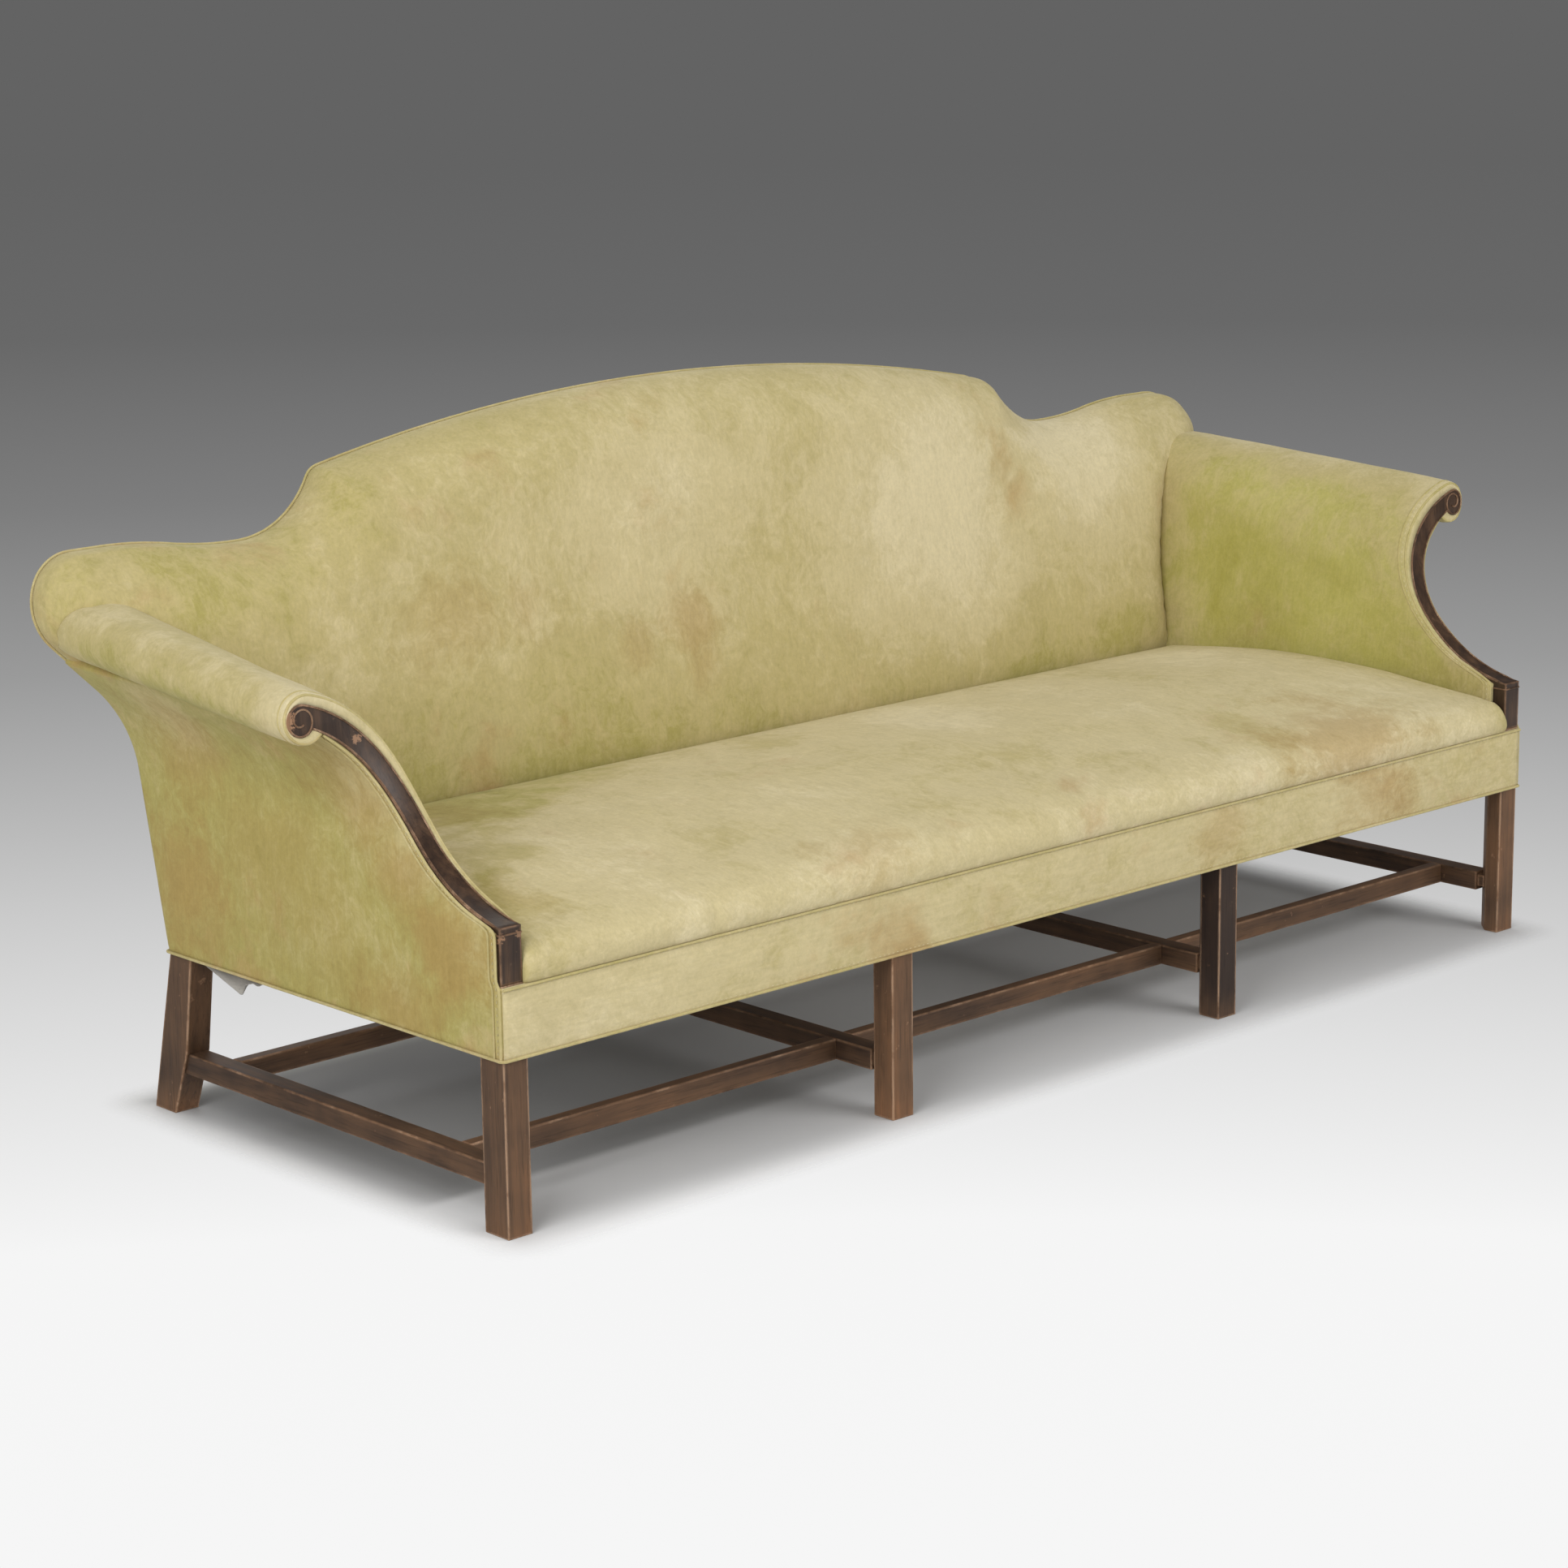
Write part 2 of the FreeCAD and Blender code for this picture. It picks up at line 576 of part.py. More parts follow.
def bulged(first, last, bulge):
    """The middle of an arc over a chord, on the inner and upper side of the arm."""
    chord = last - first
    normal = FreeCAD.Vector(-chord.z, 0, chord.x) / chord.Length
    if normal.z < 0:
        normal = -normal
    return (first + last) / 2 + normal * bulge


padRadius = size["armSweepRadius"] + size["facingWidth"] + size["facingPadProud"]
frontTurn = at(size["armSweepRadius"] - padRadius, size["armSweepHeight"])
frontRoll = around(*sweepCentre, padRadius - size["frontRollRadius"], size["frontTurnAngle"])
frontChord = around(*sweepCentre, padRadius, size["frontTurnAngle"]) - frontTurn
frontBulge = padRadius - math.sqrt(padRadius ** 2 - (frontChord.Length / 2) ** 2)
backTurn = at(-size["backTurnInset"], size["earHeight"] - size["backTurnDrop"])
backRoll = at(size["earReach"] - size["backRollInset"], size["earHeight"] - size["backRollDrop"])


def rollPoint(station, depth, degrees):
    """A point on the roll, under its surface by a depth."""
    centre = mixed(frontRoll, backRoll, station)
    radius = mixed(size["frontRollRadius"], size["backRollRadius"], station) - depth
    turn = math.radians(degrees)
    return centre + FreeCAD.Vector(-radius * math.cos(turn), 0, radius * math.sin(turn))


def armCurve(y, depth, low, withRoll):
    """The inside of the arm at a distance behind the front legs: points from the seat up."""
    station = stationAt(y)
    turnAngle = mixed(size["frontTurnAngle"], size["backTurnAngle"], station)
    turnStart = mixed(frontTurn, backTurn, station) + FreeCAD.Vector(-depth, 0, 0)
    top = rollPoint(station, depth, turnAngle)
    bulge = mixed(frontBulge, size["backTurnBulge"], station)
    points = [at(depth - footInset(station), low), turnStart, bulged(turnStart, top, bulge), top]
    if withRoll:
        seam = mixed(size["frontSeamAngle"], size["backSeamAngle"], station)
        points += [rollPoint(station, depth, (turnAngle + seam) / 2), rollPoint(station, depth, seam)]
    shift = FreeCAD.Vector(0, y, 0)
    return [point + shift for point in points]


def shellBetween(outer, inner):
    """A closed wire between two curves, each a line, then arcs, then a line if a point is left."""
    def edges(points):
        run = [line(points[0], points[1])]
        for i in range(1, len(points) - 2, 2):
            run.append(Part.Arc(*points[i:i + 3]).toShape())
        if len(points) % 2:
            run.append(line(points[-2], points[-1]))
        return run

    ends = [line(outer[-1], inner[-1]), line(inner[0], outer[0])]
    return Part.Wire(Part.__sortEdges__(edges(outer) + edges(inner) + ends))


armBehind = size["frameDepth"] + 2 * size["backThickness"]
armBays = [armBehind * i / size["armStations"] for i in range(int(size["armStations"]) + 1)]


def insideArm(outer, inner, withRoll=True):
    """A layer of the inside of the arm, between two depths, from the facing to the back."""
    wires = []
    for y in armBays:
        wires.append(shellBetween(armCurve(y, outer, floorOfSeat, withRoll),
                                  armCurve(y, inner, floorOfSeat, withRoll)))
    layer = Part.makeLoft(wires, True, True)
    return layer.cut(crossBar(clearOfFacing)).common(frontOfBack)


blockSpace = Part.makeBox(2 * half, size["frontLegDepth"] + gap, blockTop - valueOf(railTop) + gap,
                          FreeCAD.Vector(-2 * half, 0, valueOf(railTop)))
mirrored("right_inside_arm_cover",
         feature("left_inside_arm_cover", insideArm(0, cloth).cut(blockSpace)))

padDepth = cloth + gap + size["armPadThickness"]
armPad = insideArm(cloth + gap, padDepth).cut(blockSpace).cut(stump)
mirrored("right_arm_stuffing", feature("left_arm_stuffing", armPad))

hessianDepth = padDepth + gap
hessian = insideArm(hessianDepth, hessianDepth + size["hessianThickness"], False)
mirrored("right_arm_hessian", feature("left_arm_hessian", hessian.cut(blockSpace).cut(stump)))

# The round top rail inside the roll, and the tacking rail low on the arm.
def timberSection(y):
    """The round of the arm's top rail at a distance behind the front legs."""
    middle = mixed(frontRoll, backRoll, stationAt(y)) + FreeCAD.Vector(0, y, 0)
    radius = mixed(size["frontRollRadius"], size["backRollRadius"], stationAt(y))
    radius = radius - hessianDepth - size["hessianThickness"] - gap
    return Part.Wire(Part.makeCircle(radius, middle, FreeCAD.Vector(0, 1, 0)))


clearOfPost = crossBar(clearOfFacing + size["stumpThickness"] - gap)
postPlane = slab(size["backFrameThickness"])
topRail = Part.makeLoft([timberSection(0), timberSection(armBehind)], True, True)
topRail = topRail.cut(clearOfPost).common(postPlane)
mirrored("right_arm_top_rail", feature("left_arm_top_rail", topRail))

lowRailStart = size["frontLegDepth"] + 2 * size["stumpThickness"]
lowRailWidth = footInset(stationAt(lowRailStart)) - hessianDepth - size["tackingRailEase"]
lowRail = Part.makeBox(lowRailWidth, beyond, size["tackingRailHeight"],
                       at(0, valueOf(railTop), lowRailStart))
lowRail = lowRail.common(postPlane).cut(stump)
mirrored("right_arm_tacking_rail", feature("left_arm_tacking_rail", lowRail))
armTimbers = topRail.fuse(lowRail)
armTimbers = armTimbers.fuse(armTimbers.mirror(*mirrorLine))

# Back.

def radiusOver(run, rise):
    """Radius of the arc that leaves level and climbs by a rise over a run."""
    return (run ** 2 + rise ** 2) / (2 * rise)


def pointOn(centre, radius, degrees):
    turn = math.radians(degrees)
    return centre + FreeCAD.Vector(radius * math.cos(turn), 0, radius * math.sin(turn))


def headingTo(start, end):
    """Direction from one point to another, in degrees."""
    return math.degrees(math.atan2(end.z - start.z, end.x - start.x))


def roundEdge(centre, radius, start, end):
    return Part.Arc(*[pointOn(centre, radius, turn) for turn in (start, (start + end) / 2, end)]).toShape()


dipCentre = FreeCAD.Vector(half - size["dipSetback"], 0, dip + size["dipRadius"])
humpRadius = radiusOver(dipCentre.x - size["dipRadius"], size["crestRise"] - size["shoulderRise"])
humpCentre = FreeCAD.Vector(0, 0, crest - humpRadius)
earCentre = FreeCAD.Vector(half + size["earReach"] - size["earRadius"], 0,
                           size["earHeight"] - size["earRadius"])
sideCentre = FreeCAD.Vector(half + size["sideSweepRadius"], 0, size["armSweepHeight"])
slopeRun = (size["dipSetback"] + size["earTopStart"]) / 2
slopeRadius = radiusOver(slopeRun, size["dipDrop"] / 2)
slopeTurn = math.degrees(math.asin(slopeRun / slopeRadius))


def shoulderCentre():
    """Centre of the rounding that joins the hump to the hollow beside it."""
    fromHump = humpRadius - size["shoulderRadius"]
    fromDip = size["dipRadius"] + size["shoulderRadius"]
    span = dipCentre - humpCentre
    along = (fromHump ** 2 - fromDip ** 2 + span.Length ** 2) / (2 * span.Length)
    across = math.sqrt(fromHump ** 2 - along ** 2)
    unit = span / span.Length
    return humpCentre + unit * along + FreeCAD.Vector(-unit.z, 0, unit.x) * across


def sideRadiusOf(inset):
    """Radius of the side of the back, which stands inside the outside cover of the arm."""
    return size["sideSweepRadius"] + inset + cloth + gap


flankSpan = sideCentre - earCentre
flankTurn = headingTo(earCentre, sideCentre)
flankTurn += math.degrees(math.acos((size["earRadius"] + sideRadiusOf(0)) / flankSpan.Length))


def backOutline(inset):
    """The back seen from the front, its outline moved in by an inset."""
    shoulder = shoulderCentre()
    humpTurn = headingTo(humpCentre, shoulder)
    dipTurn = headingTo(dipCentre, shoulder) + 360
    slopeLow = FreeCAD.Vector(dipCentre.x, 0, dip + slopeRadius)
    slopeHigh = FreeCAD.Vector(half + size["earTopStart"], 0, size["earHeight"] - slopeRadius)
    sideRadius = sideRadiusOf(inset)
    earTop = pointOn(earCentre, size["earRadius"] - inset, 90)
    earLow = pointOn(earCentre, size["earRadius"] - inset, flankTurn)
    neck = pointOn(sideCentre, sideRadius, flankTurn + 180)
    waist = pointOn(sideCentre, sideRadius, 180)
    foot = FreeCAD.Vector(waist.x, 0, floorOfSeat + inset)
    right = [
        roundEdge(humpCentre, humpRadius - inset, 90, humpTurn),
        roundEdge(shoulder, size["shoulderRadius"] - inset, humpTurn, dipTurn - 180),
        roundEdge(dipCentre, size["dipRadius"] + inset, dipTurn, 270),
        roundEdge(slopeLow, slopeRadius + inset, 270, 270 + slopeTurn),
        roundEdge(slopeHigh, slopeRadius - inset, 90 + slopeTurn, 90),
        line(pointOn(slopeHigh, slopeRadius - inset, 90), earTop),
        roundEdge(earCentre, size["earRadius"] - inset, 90, flankTurn),
        line(earLow, neck),
        roundEdge(sideCentre, sideRadius, flankTurn + 180, 180),
        line(waist, foot),
    ]
    left = [edge.mirror(*mirrorLine) for edge in right]
    base = line(foot, FreeCAD.Vector(-foot.x, 0, foot.z))
    return Part.Face(Part.Wire(Part.__sortEdges__(right + [base] + left)))


outline = backOutline(0)


def backLayer(near, far, inset=0.0):
    """A layer of the back, inside its outline by an inset."""
    return backOutline(inset).extrude(FreeCAD.Vector(0, beyond, 0)).common(slab(near, far))


# The outside of the arm: one cover from under the roll to the hem.
hemHeight = size["railBottom"] - size["hemDrop"]
flankLength = math.sqrt(flankSpan.Length ** 2 - (size["earRadius"] + sideRadiusOf(0)) ** 2)

frontNeck = around(*sweepCentre, size["armSweepRadius"], size["frontNeckAngle"])
frontAlong = around(0, 0, 1, size["frontNeckAngle"] - 90) - at(0, 0)
frontRun = (rollPoint(0, 0, size["frontSeamAngle"]) - frontNeck).dot(frontAlong) - size["frontSeamShort"]


def outsideCurve(y, out):
    """The outer face of the arm at a distance behind the front legs, from the hem up."""
    station = stationAt(y)
    turn = mixed(size["frontNeckAngle"], flankTurn + 180, station)
    radius = mixed(size["armSweepRadius"], size["sideSweepRadius"], station)
    run = mixed(frontRun, flankLength - size["backSeamShort"], station)
    centre = (radius, size["armSweepHeight"])
    neck = around(*centre, radius - out, turn)
    along = around(0, 0, 1, turn - 90) - at(0, 0)
    sweepPoints = [around(*centre, radius - out, angle) for angle in (180, (180 + turn) / 2, turn)]
    shift = FreeCAD.Vector(0, y, 0)
    return [point + shift for point in [at(out, hemHeight)] + sweepPoints + [neck + along * run]]


def outsideArm(near, far):
    """The outer face of the arm, between two distances outside the frame."""
    wires = [shellBetween(outsideCurve(y, near), outsideCurve(y, far)) for y in armBays]
    return Part.makeLoft(wires, True, True)


facingSpace = crossBar(size["frontSweepRadius"] + size["facingShows"]).common(above(blockLow))
coverSpace = Part.makeBox(2 * half, size["facingShows"], size["blockHeight"],
                          FreeCAD.Vector(-2 * half, 0, blockLow))
outside = outsideArm(gap, gap + cloth).cut(facingSpace).cut(coverSpace)
outside = outside.common(slab(0))
mirrored("right_outside_arm_cover", feature("left_outside_arm_cover", outside))

frameZone = size["backFrameThickness"]
innerFace = size["backThickness"]
webZone = frameZone + gap
hessianZone = webZone + 2 * size["webThickness"] + 2 * gap
padZone = hessianZone + size["hessianThickness"] + gap
fullBack = backLayer(0, innerFace)
backInside = backLayer(-cloth, innerFace - cloth, cloth)
insideCover = fullBack.cut(backInside).cut(backInside.translated(FreeCAD.Vector(0, 0, -2 * cloth)))
postTop = dip - size["crestRailDepth"] / 2
endPost = Part.makeBox(size["legWidth"], beyond, postTop, at(0, 0)).common(slab(-frameZone, frameZone))
endPosts = endPost.fuse(endPost.mirror(*mirrorLine))
feature("inside_back_cover", insideCover.cut(armTimbers).cut(endPosts))
backPad = backLayer(padZone, innerFace - cloth - gap, cloth + gap)
feature("back_stuffing", backPad.cut(armTimbers))
hessianFace = outline.translated(FreeCAD.Vector(0, 0, -size["crestRailDepth"] / 2))
hessianSide = half - size["legWidth"] / 2
hessianSheet = hessianFace.extrude(FreeCAD.Vector(0, beyond, 0))
hessianSheet = hessianSheet.common(slab(hessianZone, hessianZone + size["hessianThickness"]))
hessianSheet = hessianSheet.common(Part.makeBox(2 * hessianSide, beyond, crest,
                                                FreeCAD.Vector(-hessianSide, 0, size["backRailHeight"])))
feature("back_hessian", hessianSheet)

underCrest = backOutline(cloth + gap).translated(FreeCAD.Vector(0, 0, -size["crestRailDepth"]))
underCrest = underCrest.extrude(FreeCAD.Vector(0, beyond, 0))
underCrest = underCrest.common(Part.makeBox(2 * half, beyond, crest, FreeCAD.Vector(-half, 0, 0)))
crestZone = above(size["earHeight"] - size["earTimberDepth"]).cut(underCrest)
feature("crest_rail", backLayer(0, frameZone, cloth + gap).common(crestZone))
crestSpace = doc.addObject("Part::Feature", "crest_space")
crestSpace.Shape = crestZone
crestSpace.Placement = FreeCAD.Placement(FreeCAD.Vector(0, front, 0), FreeCAD.Rotation())

rearPanel = outline.extrude(FreeCAD.Vector(0, beyond, 0))
rearSkirt = Part.makeBox(2 * (half - cloth - gap), beyond, floorOfSeat - hemHeight,
                         FreeCAD.Vector(-(half - cloth - gap), 0, hemHeight))
feature("outside_back_cover", rearPanel.fuse(rearSkirt).common(slab(-gap - cloth, -gap)))


def strap(layer, across, along):
    """One strap of the back's webbing."""
    box = Part.makeBox(across[1] - across[0], beyond, along[1] - along[0],
                       FreeCAD.Vector(across[0], 0, along[0]))
    return box.common(slab(layer, layer + size["webThickness"]))


def spacedAlong(first, last):
    """Places of straps, evenly spread between two ends."""
    count = max(int((last - first) // size["webSpacing"]), 1)
    pitch = (last - first) / count
    return [first + (i + 0.5) * pitch for i in range(count)]


webHalf = size["webWidth"] / 2
webLift = size["webThickness"] + gap / 3
backWebs = []
backLow = size["backRailHeight"]
backHigh = dip - 1.5 * size["crestRailDepth"]
backSide = half - 2 * size["legWidth"]
for x in spacedAlong(-backSide, backSide):
    backWebs.append(strap(webZone, (x - webHalf, x + webHalf), (backLow, backHigh + size["webWidth"])))
for z in spacedAlong(backLow + size["webWidth"], backHigh):
    backWebs.append(strap(webZone + webLift, (-backSide, backSide), (z - webHalf, z + webHalf)))
feature("back_webbing", Part.makeCompound(backWebs))

tackRail = Part.makeBox(2 * (half - size["legWidth"]), beyond, size["tackingRailHeight"],
                        FreeCAD.Vector(-(half - size["legWidth"]), 0, size["backRailHeight"]))
feature("back_tacking_rail", tackRail.common(slab(0, frameZone / 2)))
doc.recompute()

for place, step in legPlaces:
    label = "rear_leg_" + place
    lapped = [crestSpace, parts["back_tacking_rail"]]
    keep(cut(label, rearLegs[place], lapped), label)
    label = "front_leg_" + place
    keep(cut(label, frontLegs[place], [crossStretchers[place]]), label)

# Seat.

def seatSide(y, inset=0.0):
    """Half the width of the seat between the arms."""
    return half - footInset(stationAt(y)) - gap - inset


def seatSection(inset):
    """The seat seen from the side: nose, crown and flat underside."""
    lip = FreeCAD.Vector(0, -cloth - gap, blockLow)
    nose = FreeCAD.Vector(0, -size["seatNose"], size["seatNoseHeight"])
    edge = FreeCAD.Vector(0, size["seatEdgeSetback"], size["seatEdgeHeight"])
    crown = FreeCAD.Vector(0, size["seatCrownSetback"], size["seatCrownHeight"])
    back = FreeCAD.Vector(0, size["frameDepth"] - size["railThickness"], size["seatBackHeight"])
    backFoot = FreeCAD.Vector(0, size["frameDepth"] - size["railThickness"], floorOfSeat)
    frontFoot = FreeCAD.Vector(0, size["crossRailInset"], floorOfSeat)
    wire = Part.Wire([Part.Arc(lip, nose, edge).toShape(), Part.Arc(edge, crown, back).toShape(),
                      line(back, backFoot), line(backFoot, frontFoot), line(frontFoot, lip)])
    face = Part.Face(wire)
    return face.makeOffset2D(-inset) if inset else face


def seatRun(inset):
    """That section run from arm to arm and stopped at the face of the back."""
    start = -2 * size["seatNose"]
    corners = [(-seatSide(start, inset), start), (seatSide(start, inset), start),
               (seatSide(armBehind, inset), armBehind), (-seatSide(armBehind, inset), armBehind)]
    loop = [FreeCAD.Vector(x, y, 0) for x, y in corners + corners[:1]]
    plan = Part.Face(Part.makePolygon(loop)).extrude(FreeCAD.Vector(0, 0, crest))
    face = seatSection(inset).translated(FreeCAD.Vector(-half, 0, 0))
    run = face.extrude(FreeCAD.Vector(2 * half, 0, 0)).common(plan)
    return run.common(slab(size["backThickness"] + gap + inset))


seatPad = seatRun(cloth + gap)
seatInside = seatRun(cloth)
feature("seat_stuffing", seatPad)
openBelow = seatInside.translated(FreeCAD.Vector(0, 0, -2 * cloth))
feature("seat_cover", seatRun(0).cut(seatInside).cut(openBelow))

seatWebs = []
webLow = valueOf(railTop)
webSide = seatSide(0)
for x in spacedAlong(-webSide, webSide):
    seatWebs.append(Part.makeBox(size["webWidth"], size["frameDepth"] - size["rearLegDepth"],
                                 size["webThickness"], FreeCAD.Vector(x - webHalf, gap, webLow)))
for y in spacedAlong(size["frontLegDepth"], size["frameDepth"] - size["rearLegDepth"]):
    seatWebs.append(Part.makeBox(2 * half - 2 * size["hessianThickness"], size["webWidth"],
                                 size["webThickness"],
                                 FreeCAD.Vector(size["hessianThickness"] - half, y - webHalf,
                                                webLow + webLift)))
sideTimbers = armTimbers.fuse(stump).fuse(stump.mirror(*mirrorLine))
feature("seat_webbing", Part.makeCompound([web.cut(sideTimbers) for web in seatWebs]))

sackingLow = webLow + 2 * size["webThickness"] + 2 * gap
sackingSide = seatSide(size["frameDepth"])
sackingFront = size["railThickness"] / 2
sackingDepth = size["frameDepth"] - size["rearLegDepth"] - sackingFront
sacking = Part.makeBox(2 * sackingSide, sackingDepth, size["hessianThickness"],
                       FreeCAD.Vector(-sackingSide, sackingFront, sackingLow))
feature("seat_sackcloth", sacking.cut(blockSpace).cut(blockSpace.mirror(*mirrorLine)))

band = Part.makeBox(2 * (half + gap), cloth, size["bandTop"] - hemHeight,
                    FreeCAD.Vector(-half - gap, -gap - cloth, hemHeight))
feature("front_band_cover", band)

# Piping, dust cover and tacks.

pipe = size["pipingRadius"]
proud = gap + cloth + pipe
pipes = []
pipeSide = half + gap + cloth
for height in (size["bandTop"], hemHeight + pipe):
    start = FreeCAD.Vector(-pipeSide, -proud, height)
    pipes.append(Part.makeCylinder(pipe, 2 * pipeSide, start, FreeCAD.Vector(1, 0, 0)))
sidePipe = Part.makeCylinder(pipe, size["frameDepth"], FreeCAD.Vector(-half - proud, 0, hemHeight + pipe),
                             FreeCAD.Vector(0, 1, 0))
pipes += [sidePipe, sidePipe.mirror(*mirrorLine)]
feature("piping", Part.makeCompound(pipes))

dustTop = size["railBottom"]
dustInset = size["hemDrop"] / 2
dustPlate = Part.makeBox(2 * (half - dustInset), size["frameDepth"] - 2 * dustInset,
                         size["hessianThickness"],
                         FreeCAD.Vector(dustInset - half, dustInset, dustTop - size["hessianThickness"]))
dustSource = doc.addObject("Part::Feature", "dust_cover_plate")
dustSource.Shape = dustPlate
dustSource.Placement = FreeCAD.Placement(FreeCAD.Vector(0, front, 0), FreeCAD.Rotation())
keep(cut("dust_cover", dustSource, list(frontLegs.values()) + list(rearLegs.values())), "dust_cover")

tacks = []
tackLine = size["railThickness"] / 2
tackTop = dustTop - size["hessianThickness"]
legZones = [step * size["legPitch"] for place, step in legPlaces]


def tackAt(x, y):
    """A domed tack driven up into a rail."""
    place = FreeCAD.Vector(x, y, tackTop)
    return Part.makeSphere(size["tackRadius"], place, FreeCAD.Vector(0, 0, -1), 0, 90)


tackRun = 2 * (half - size["legWidth"])
tackCount = int(tackRun // size["tackSpacing"])
for i in range(1, tackCount):
    x = (i / tackCount - 0.5) * tackRun
    if min(abs(x - zone) for zone in legZones) > size["legWidth"] / 2 + size["tackRadius"]:
        tacks.append(tackAt(x, tackLine))
        tacks.append(tackAt(x, size["frameDepth"] - tackLine))
sideRun = size["frameDepth"] - 2 * size["rearLegDepth"]
sideCount = int(sideRun // size["tackSpacing"])
for i in range(1, sideCount):
    y = size["rearLegDepth"] + i * sideRun / sideCount
    tacks.append(tackAt(-half + tackLine, y))
    tacks.append(tackAt(half - tackLine, y))
feature("tacks", Part.makeCompound(tacks))

# Check and write.

doc.recompute()
for obj in doc.Objects:
    if "Invalid" in obj.State or "Error" in obj.State:
        raise RuntimeError("%s did not build: %s" % (obj.Label, obj.State))
for label, obj in parts.items():
    shape = obj.Shape
    if shape.isNull() or not shape.isValid() or not shape.Solids:
        raise RuntimeError("%s has no valid solid" % label)

os.makedirs("parts", exist_ok=True)
for label, obj in parts.items():
    obj.Shape.exportStep("parts/%s.step" % label)
    box = obj.Shape.BoundBox
    print("%-28s solids %3d  x %8.1f %8.1f  y %8.1f %8.1f  z %7.1f %7.1f  %10.1f cm3" % (
        label, len(obj.Shape.Solids), box.XMin, box.XMax, box.YMin, box.YMax, box.ZMin, box.ZMax,
        obj.Shape.Volume / 1000))
print("%d sub-parts" % len(parts))
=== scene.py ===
import cmath
import json
import math

import bmesh
import bpy
import numpy as np
from mathutils import Matrix, Vector, geometry, noise


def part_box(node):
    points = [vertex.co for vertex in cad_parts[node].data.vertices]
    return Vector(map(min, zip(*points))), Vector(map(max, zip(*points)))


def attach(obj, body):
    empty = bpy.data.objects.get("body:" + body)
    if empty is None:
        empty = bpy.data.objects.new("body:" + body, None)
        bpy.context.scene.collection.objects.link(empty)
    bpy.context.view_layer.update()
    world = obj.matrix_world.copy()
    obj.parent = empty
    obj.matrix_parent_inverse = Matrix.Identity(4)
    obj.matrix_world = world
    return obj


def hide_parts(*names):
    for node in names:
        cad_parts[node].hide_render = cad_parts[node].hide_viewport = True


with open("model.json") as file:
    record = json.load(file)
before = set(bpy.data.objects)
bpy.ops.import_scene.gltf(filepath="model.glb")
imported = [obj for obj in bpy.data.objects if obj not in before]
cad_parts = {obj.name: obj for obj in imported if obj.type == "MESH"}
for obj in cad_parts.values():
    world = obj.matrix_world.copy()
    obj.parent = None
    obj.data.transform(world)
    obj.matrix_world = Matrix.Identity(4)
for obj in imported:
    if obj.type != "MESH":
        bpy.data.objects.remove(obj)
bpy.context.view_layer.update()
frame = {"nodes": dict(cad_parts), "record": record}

scene = bpy.context.scene
nodes = frame["nodes"]

# Lengths are metres. "out" runs outwards past the end of the frame, and
# "deep" backwards from the face of the front legs.
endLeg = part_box("front_leg_left_end")[0]
halfFrame, faceY = -endLeg.x, endLeg.y


def mixed(first, last, share):
    return first + (last - first) * share


def turned(centre, radius, degrees):
    return centre + radius * cmath.exp(1j * math.radians(degrees))


# From 0 at the first value to 1 at the last
def rising(value, first, last):
    return np.clip((value - first) / (last - first), 0, 1)


def smooth(share):
    return share * share * (3 - 2 * share)


# Evenly spaced numbers through one (first, last, count) after another
def chain(*runs):
    return np.concatenate([np.linspace(*run)[i > 0:] for i, run in enumerate(runs)])


def added(name, data):
    thing = bpy.data.objects.new(name, data)
    scene.collection.objects.link(thing)
    return thing


# Camera

view = {
    "place": (-4.0656, -4.2089, 1.7328),
    "yaw": 0.748,
    "pitch": 0.231,
    "roll": -0.013,
    "lens": 89.65,
    "sensor": 36,
}


def makeCamera():
    data = bpy.data.cameras.new("camera")
    data.lens, data.sensor_width = view["lens"], view["sensor"]
    turn = Matrix.Rotation(-view["yaw"], 4, "Z") @ Matrix.Rotation(math.pi / 2 - view["pitch"], 4, "X")
    scene.camera = added("camera", data)
    scene.camera.matrix_world = Matrix.Translation(view["place"]) @ turn @ Matrix.Rotation(view["roll"], 4, "Z")


makeCamera()
scene.view_settings.view_transform = "Standard"
print("camera ready")


# Shader helpers

def paint(red, green, blue):
    return tuple(((c / 255 + 0.055) / 1.055) ** 2.4 for c in (red, green, blue)) + (1.0,)


def grey(level):
    return paint(level, level, level)


